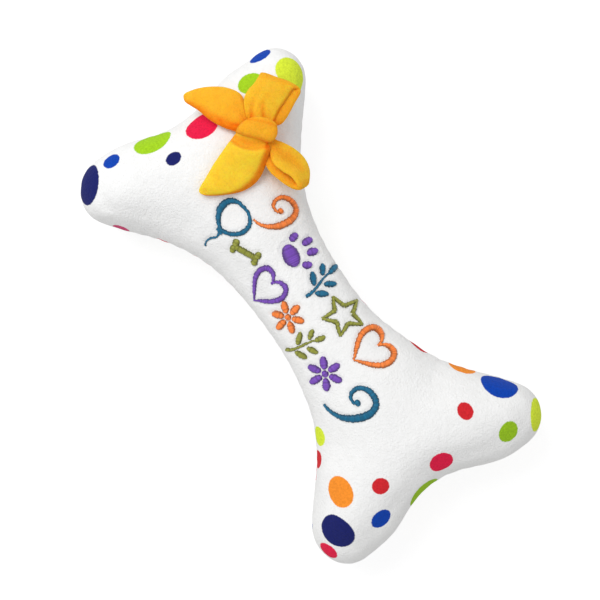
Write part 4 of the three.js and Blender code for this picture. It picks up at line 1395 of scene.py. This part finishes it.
def mottled(name, start, end, patch, grain, relief, finish):
    """A material in two shades: a noise in patches mixes them, and one in grains stands in relief.

    A noise is its size in millimetres, its detail and its roughness, and relief is the bump's strength and
    its depth in millimetres. finish holds the shader's other numbers.
    """
    material, tree = new_material(name)
    place = node(tree, "ShaderNodeTexCoord").outputs["Object"]
    patches, grain = (node(tree, "ShaderNodeTexNoise", {}, grains(place, *size)) for size in (patch, grain))
    base = node(
        tree, "ShaderNodeMix", {"data_type": "RGBA"},
        {MIX_SHARE: patches, MIX_START: linear(start), MIX_END: linear(end)},
    )
    bump = node(
        tree, "ShaderNodeBump", {}, {"Strength": relief[0], "Distance": relief[1] * MM, "Height": grain}
    )
    shader = node(tree, "ShaderNodeBsdfPrincipled", {}, {"Base Color": base, "Normal": bump, **finish})
    node(tree, "ShaderNodeOutputMaterial", {}, {"Surface": shader})
    return material


def fibrous(name, start, end, size, depth, roughness=0.95):
    """A matt material of fibres: its patches and its relief are the same noise."""
    fibre = (size, 4.0, 0.65)
    return mottled(name, start, end, fibre, fibre, (0.5, depth), {"Roughness": roughness})


def moulded(name, start, end, roughness, ior, clear=0.0):
    """A moulded plastic: a faint flow mottle and a fine grain, clear to a share."""
    finish = {"Roughness": roughness, "IOR": ior, "Transmission Weight": clear}
    return mottled(name, start, end, (5.0, 2.0), (0.4, 1.0), (0.2, 0.05), finish)


def background_share(tree):
    """1 for rays that see the background: from the camera, mirrored, or through glass."""
    path = node(tree, "ShaderNodeLightPath").outputs
    share = path["Is Camera Ray"]
    for kind in ("Is Glossy Ray", "Is Transmission Ray"):
        share = node(tree, "ShaderNodeMath", {"operation": "MAXIMUM"}, {0: share, 1: path[kind]})
    return share


def table_top():
    """White laminate table top: seen as the white background, it keeps a faint shadow of the toy."""
    material, tree = new_material("matt_white_laminate")
    place = node(tree, "ShaderNodeTexCoord").outputs["Object"]
    grain = node(tree, "ShaderNodeTexNoise", {}, grains(place, size=6.0, detail=2.0))
    colour = node(
        tree, "ShaderNodeMix", {"data_type": "RGBA"},
        {MIX_SHARE: grain, MIX_START: linear("#D2D2D1"), MIX_END: linear("#DCDCDB")},
    )
    lit = node(tree, "ShaderNodeBsdfDiffuse", {}, {"Color": colour})
    faint = node(tree, "ShaderNodeBsdfDiffuse", {}, {"Color": linear("#959595")})
    glow = node(tree, "ShaderNodeEmission", {}, {"Strength": 0.8})
    seen = node(tree, "ShaderNodeAddShader", {}, {0: faint, 1: glow})
    both = node(tree, "ShaderNodeMixShader", {}, {0: background_share(tree), 1: lit, 2: seen})
    node(tree, "ShaderNodeOutputMaterial", {}, {"Surface": both})
    return material


def light_room(scene, strength):
    """An even pale room that lights from all round and is seen as white."""
    world = bpy.data.worlds.new("room")
    world.use_nodes = True
    tree = world.node_tree
    tree.nodes.clear()
    lit, seen = (
        node(tree, "ShaderNodeBackground", {}, {"Color": linear("#FFFFFF"), "Strength": level})
        for level in (strength, 1.0)
    )
    both = node(tree, "ShaderNodeMixShader", {}, {0: background_share(tree), 1: lit, 2: seen})
    node(tree, "ShaderNodeOutputWorld", {}, {"Surface": both})
    scene.world = world


# Settings that a user would change


def colour_setting(name, description, default):
    """A colour that the user can pick, which starts at an sRGB hex value."""
    return bpy.props.FloatVectorProperty(
        name=name, description=description, default=linear(default), size=4, min=0, max=1, subtype="COLOR"
    )


class PlushSettings(bpy.types.PropertyGroup):
    colour: colour_setting("Plush", "Colour of the plush's nap", "#FCFCFC")
    shade: colour_setting("Plush between tufts", "Colour between the tufts of the nap", "#F2F2F1")
    fill: bpy.props.FloatProperty(
        name="Fill", description="How firmly the bone is stuffed", default=0.85, min=0, max=1,
        subtype="FACTOR",
    )


class BowSettings(bpy.types.PropertyGroup):
    colour: colour_setting("Fleece", "Colour of the fleece's fuzz", "#FFD43C")
    # Painted shade: the colour the fleece is darkened towards in folds, edges, inner faces and the knot's
    # sides, where shade falls
    shade: colour_setting("Fleece's ground", "Colour that shows in folds and edges", "#F67A10")
    fill: bpy.props.FloatProperty(
        name="Fill", description="How full the band is", default=0.45, min=0, max=1,
        subtype="FACTOR",
    )


class StageSettings(bpy.types.PropertyGroup):
    key_power: bpy.props.FloatProperty(
        name="Key light", description="Power of the large lamp", default=10.8, min=0,
        subtype="POWER", unit="POWER",
    )
    world_strength: bpy.props.FloatProperty(
        name="Room light", description="Strength of the light from all round", default=0.63, min=0,
        subtype="FACTOR",
    )
    floor_size: bpy.props.FloatProperty(
        name="Table", description="Width of the table top", default=6.0, min=1,
        subtype="DISTANCE", unit="LENGTH",
    )
    camera_height: bpy.props.FloatProperty(
        name="Camera height", description="Height of the lens above the table", default=0.7275, min=0.3,
        subtype="DISTANCE", unit="LENGTH",
    )
    lens: bpy.props.FloatProperty(
        name="Lens", description="Focal length in millimetres on a 36 mm wide sensor", default=86.8, min=10,
    )


# Operators


class BONETOY_OT_sew_panels(bpy.types.Operator):
    """Sew the printed front and back panels"""

    bl_idname = "bone_toy.sew_panels"
    bl_label = "Sew Panels"

    def execute(self, context):
        settings = context.scene.bone_toy_plush
        plush = printed_plush(settings)
        for side, dots in (("front", FRONT_DOTS), ("back", back_dots())):
            points = panel_points(side == "front")
            rim, colour = dot_field(sculpted_skin(side == "front"), dots)
            hidden = points.size // 3 - len(rim)
            attributes = {
                "dot_edge": np.concatenate([np.full(hidden, FAR_FROM_DOTS), rim]),
                "dot_colour": np.concatenate([np.ones((hidden, 3)), colour]),
            }
            padded_piece(
                "plush_" + side, side + "_panel", [surface(points)], plush,
                attributes=attributes,
            )
        return {"FINISHED"}


class BONETOY_OT_embroider(bpy.types.Operator):
    """Stitch the motifs in satin stitch"""

    bl_idname = "bone_toy.embroider"
    bl_label = "Embroider"

    def execute(self, context):
        for thread, colour in THREADS.items():
            columns = [
                satin_column(path, width, seed)
                for seed, (name, path, width) in enumerate(stitch_columns())
                if name == thread
            ]
            grids = [column[:2] for column in columns]
            uv = np.vstack([column[2].reshape(-1, 2) for column in columns])
            make_piece("embroidery_" + thread, grids, embroidery_thread(thread, colour), "bone", uv=uv)
        return {"FINISHED"}


class BONETOY_OT_lay_stabiliser(bpy.types.Operator):
    """Lay the non-woven stabiliser behind the embroidery"""

    bl_idname = "bone_toy.lay_stabiliser"
    bl_label = "Lay Stabiliser"

    def execute(self, context):
        points = stabiliser_grid()
        # Fibres pressed flat into a sheet: pale, matt and faintly clouded
        pressed = fibrous("pressed_non_woven_stabiliser", "#DEDAD0", "#ECE9E2", size=1.1, depth=0.3)
        piece = make_piece("stabiliser_sheet", [surface(points, False)], pressed, "bone")
        solid = piece.modifiers.new("thickness", "SOLIDIFY")
        solid.thickness = STABILISER_THICKNESS * MM
        solid.offset = 0
        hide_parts("embroidery_stabiliser")
        return {"FINISHED"}


class BONETOY_OT_stuff(bpy.types.Operator):
    """Fill the bone with wads of fibrefill"""

    bl_idname = "bone_toy.stuff"
    bl_label = "Stuff"

    def execute(self, context):
        # Crimped fibre, carded into wads: white, matt and woolly
        fibre = fibrous("carded_polyester_fibrefill", "#E6E6E4", "#FAFAF8", size=2.2, depth=0.8)
        wads = {"shaft_wad_front": shaft_wad(True), "shaft_wad_back": shaft_wad(False)}
        for end, side_x in (("left", -1), ("right", 1)):
            for side, side_y in (("upper", 1), ("lower", -1)):
                wads["knuckle_wad_%s_%s" % (end, side)] = knuckle_wad(side_x, side_y)
        for name, grids in wads.items():
            padded_piece("fibrefill_" + name, name, grids, fibre)
        return {"FINISHED"}


class BONETOY_OT_fit_squeaker(bpy.types.Operator):
    """Give the squeaker's parts and the tack their materials"""

    bl_idname = "bone_toy.fit_squeaker"
    bl_label = "Fit Squeaker"

    def execute(self, context):
        # Cloudy and soft from the blow mould, satin from the injection mould, and smooth and clear as film
        bulb = moulded("blow_moulded_soft_vinyl", "#D2D9DA", "#E6EAEA", roughness=0.38, ior=1.53, clear=0.35)
        plug = moulded("injection_moulded_polypropylene", "#E7E3D8", "#F4F1E9", roughness=0.34, ior=1.49)
        film = moulded("die_cut_polyester_film", "#B2C0C6", "#C6D1D6", roughness=0.18, ior=1.64, clear=0.4)
        # Two plies twisted together: a faint gloss broken by the twist
        thread = fibrous(
            "twisted_polyester_thread", "#D98A12", "#F2A824", size=0.5, depth=0.15, roughness=0.6
        )
        for name, material in (
            ("squeaker_bulb", bulb),
            ("squeaker_reed_plug", plug),
            ("squeaker_reed_clamp", plug),
            ("squeaker_reed", film),
            ("bow_tack_stitch", thread),
        ):
            for slot in frame["nodes"][name].material_slots:
                slot.material = material
        return {"FINISHED"}


class BONETOY_OT_tie_bow(bpy.types.Operator):
    """Tie the fleece bow: its knot, two loops and two tails"""

    bl_idname = "bone_toy.tie_bow"
    bl_label = "Tie Bow"

    def execute(self, context):
        settings = context.scene.bone_toy_bow
        fleece = brushed_fleece(settings)
        points, painted_shade = knot_points()
        padded_piece(
            "fleece_knot", "bow_knot", [surface(points)], fleece,
            attributes={"painted_shade": painted_shade.ravel()},
        )
        for flap, (node_name, shape) in FREE_ENDS.items():
            points, painted_shade = shape()
            piece = padded_piece(
                "fleece_" + flap, node_name, [surface(points)], fleece,
                body=None, attributes={"painted_shade": painted_shade.ravel()},
            )
            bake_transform(piece)
        return {"FINISHED"}


class BONETOY_OT_close_seam(bpy.types.Operator):
    """Close the turning gap with hand stitches"""

    bl_idname = "bone_toy.close_seam"
    bl_label = "Close Seam"

    def execute(self, context):
        # The same twisted thread in white
        thread = fibrous(
            "twisted_polyester_sewing_thread", "#E2E0DA", "#F5F4F0", size=0.4, depth=0.1, roughness=0.6
        )
        make_piece("ladder_stitches", ladder_stitches(), thread, "bone")
        return {"FINISHED"}


class BONETOY_OT_set_stage(bpy.types.Operator):
    """Set the table, the lamp, the room light and the camera"""

    bl_idname = "bone_toy.set_stage"
    bl_label = "Set Stage"

    def execute(self, context):
        settings = context.scene.bone_toy_stage
        scene = context.scene
        scene.view_settings.view_transform = "Standard"
        half = settings.floor_size / 2 / MM
        corners = np.array([[(x, y, 0.0) for x in (-half, half)] for y in (-half, half)])
        floor = make_piece("table_top", [surface(corners, False)], table_top(), None)
        light_room(scene, settings.world_strength)
        lamp = bpy.data.lights.new("key", "AREA")
        lamp.energy = settings.key_power
        lamp.shape = "DISK"
        lamp.size = KEY_WIDTH
        key = bpy.data.objects.new("key", lamp)
        scene.collection.objects.link(key)
        key.location = KEY_PLACE
        key.rotation_euler = (-KEY_PLACE).to_track_quat("-Z", "Y").to_euler()
        camera = bpy.data.cameras.new("camera")
        camera.lens = settings.lens
        camera.sensor_width = SENSOR_WIDTH
        camera.clip_start, camera.clip_end = 0.01, 20
        view = bpy.data.objects.new("camera", camera)
        scene.collection.objects.link(view)
        view.location = (CAMERA_PLACE[0] * MM, CAMERA_PLACE[1] * MM, settings.camera_height)
        view.rotation_euler = (0, 0, CAMERA_TURN)
        scene.camera = view
        return {"FINISHED"}


class BONETOY_PT_panel(bpy.types.Panel):
    """Lists the steps that dress the toy"""

    bl_idname = "BONETOY_PT_panel"
    bl_label = "Bone Toy"
    bl_space_type = "VIEW_3D"
    bl_region_type = "UI"
    bl_category = "Bone Toy"

    def draw(self, context):
        layout = self.layout
        for group in (context.scene.bone_toy_plush, context.scene.bone_toy_bow, context.scene.bone_toy_stage):
            box = layout.box()
            for name in group.bl_rna.properties.keys():
                if name not in ("rna_type", "name"):
                    box.prop(group, name)
        for operator in OPERATORS:
            layout.operator(operator.bl_idname)


OPERATORS = (
    BONETOY_OT_sew_panels,
    BONETOY_OT_embroider,
    BONETOY_OT_lay_stabiliser,
    BONETOY_OT_stuff,
    BONETOY_OT_fit_squeaker,
    BONETOY_OT_tie_bow,
    BONETOY_OT_close_seam,
    BONETOY_OT_set_stage,
)
GROUPS = {"bone_toy_plush": PlushSettings, "bone_toy_bow": BowSettings, "bone_toy_stage": StageSettings}
CLASSES = (*GROUPS.values(), *OPERATORS, BONETOY_PT_panel)


def register():
    for cls in CLASSES:
        bpy.utils.register_class(cls)
    for name, group in GROUPS.items():
        setattr(bpy.types.Scene, name, bpy.props.PointerProperty(type=group))


def unregister():
    for name in GROUPS:
        delattr(bpy.types.Scene, name)
    for cls in reversed(CLASSES):
        bpy.utils.unregister_class(cls)


def main():
    """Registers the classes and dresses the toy."""
    register()
    for operator in OPERATORS:
        group, name = operator.bl_idname.split(".")
        getattr(getattr(bpy.ops, group), name)()


if __name__ == "__main__":
    main()
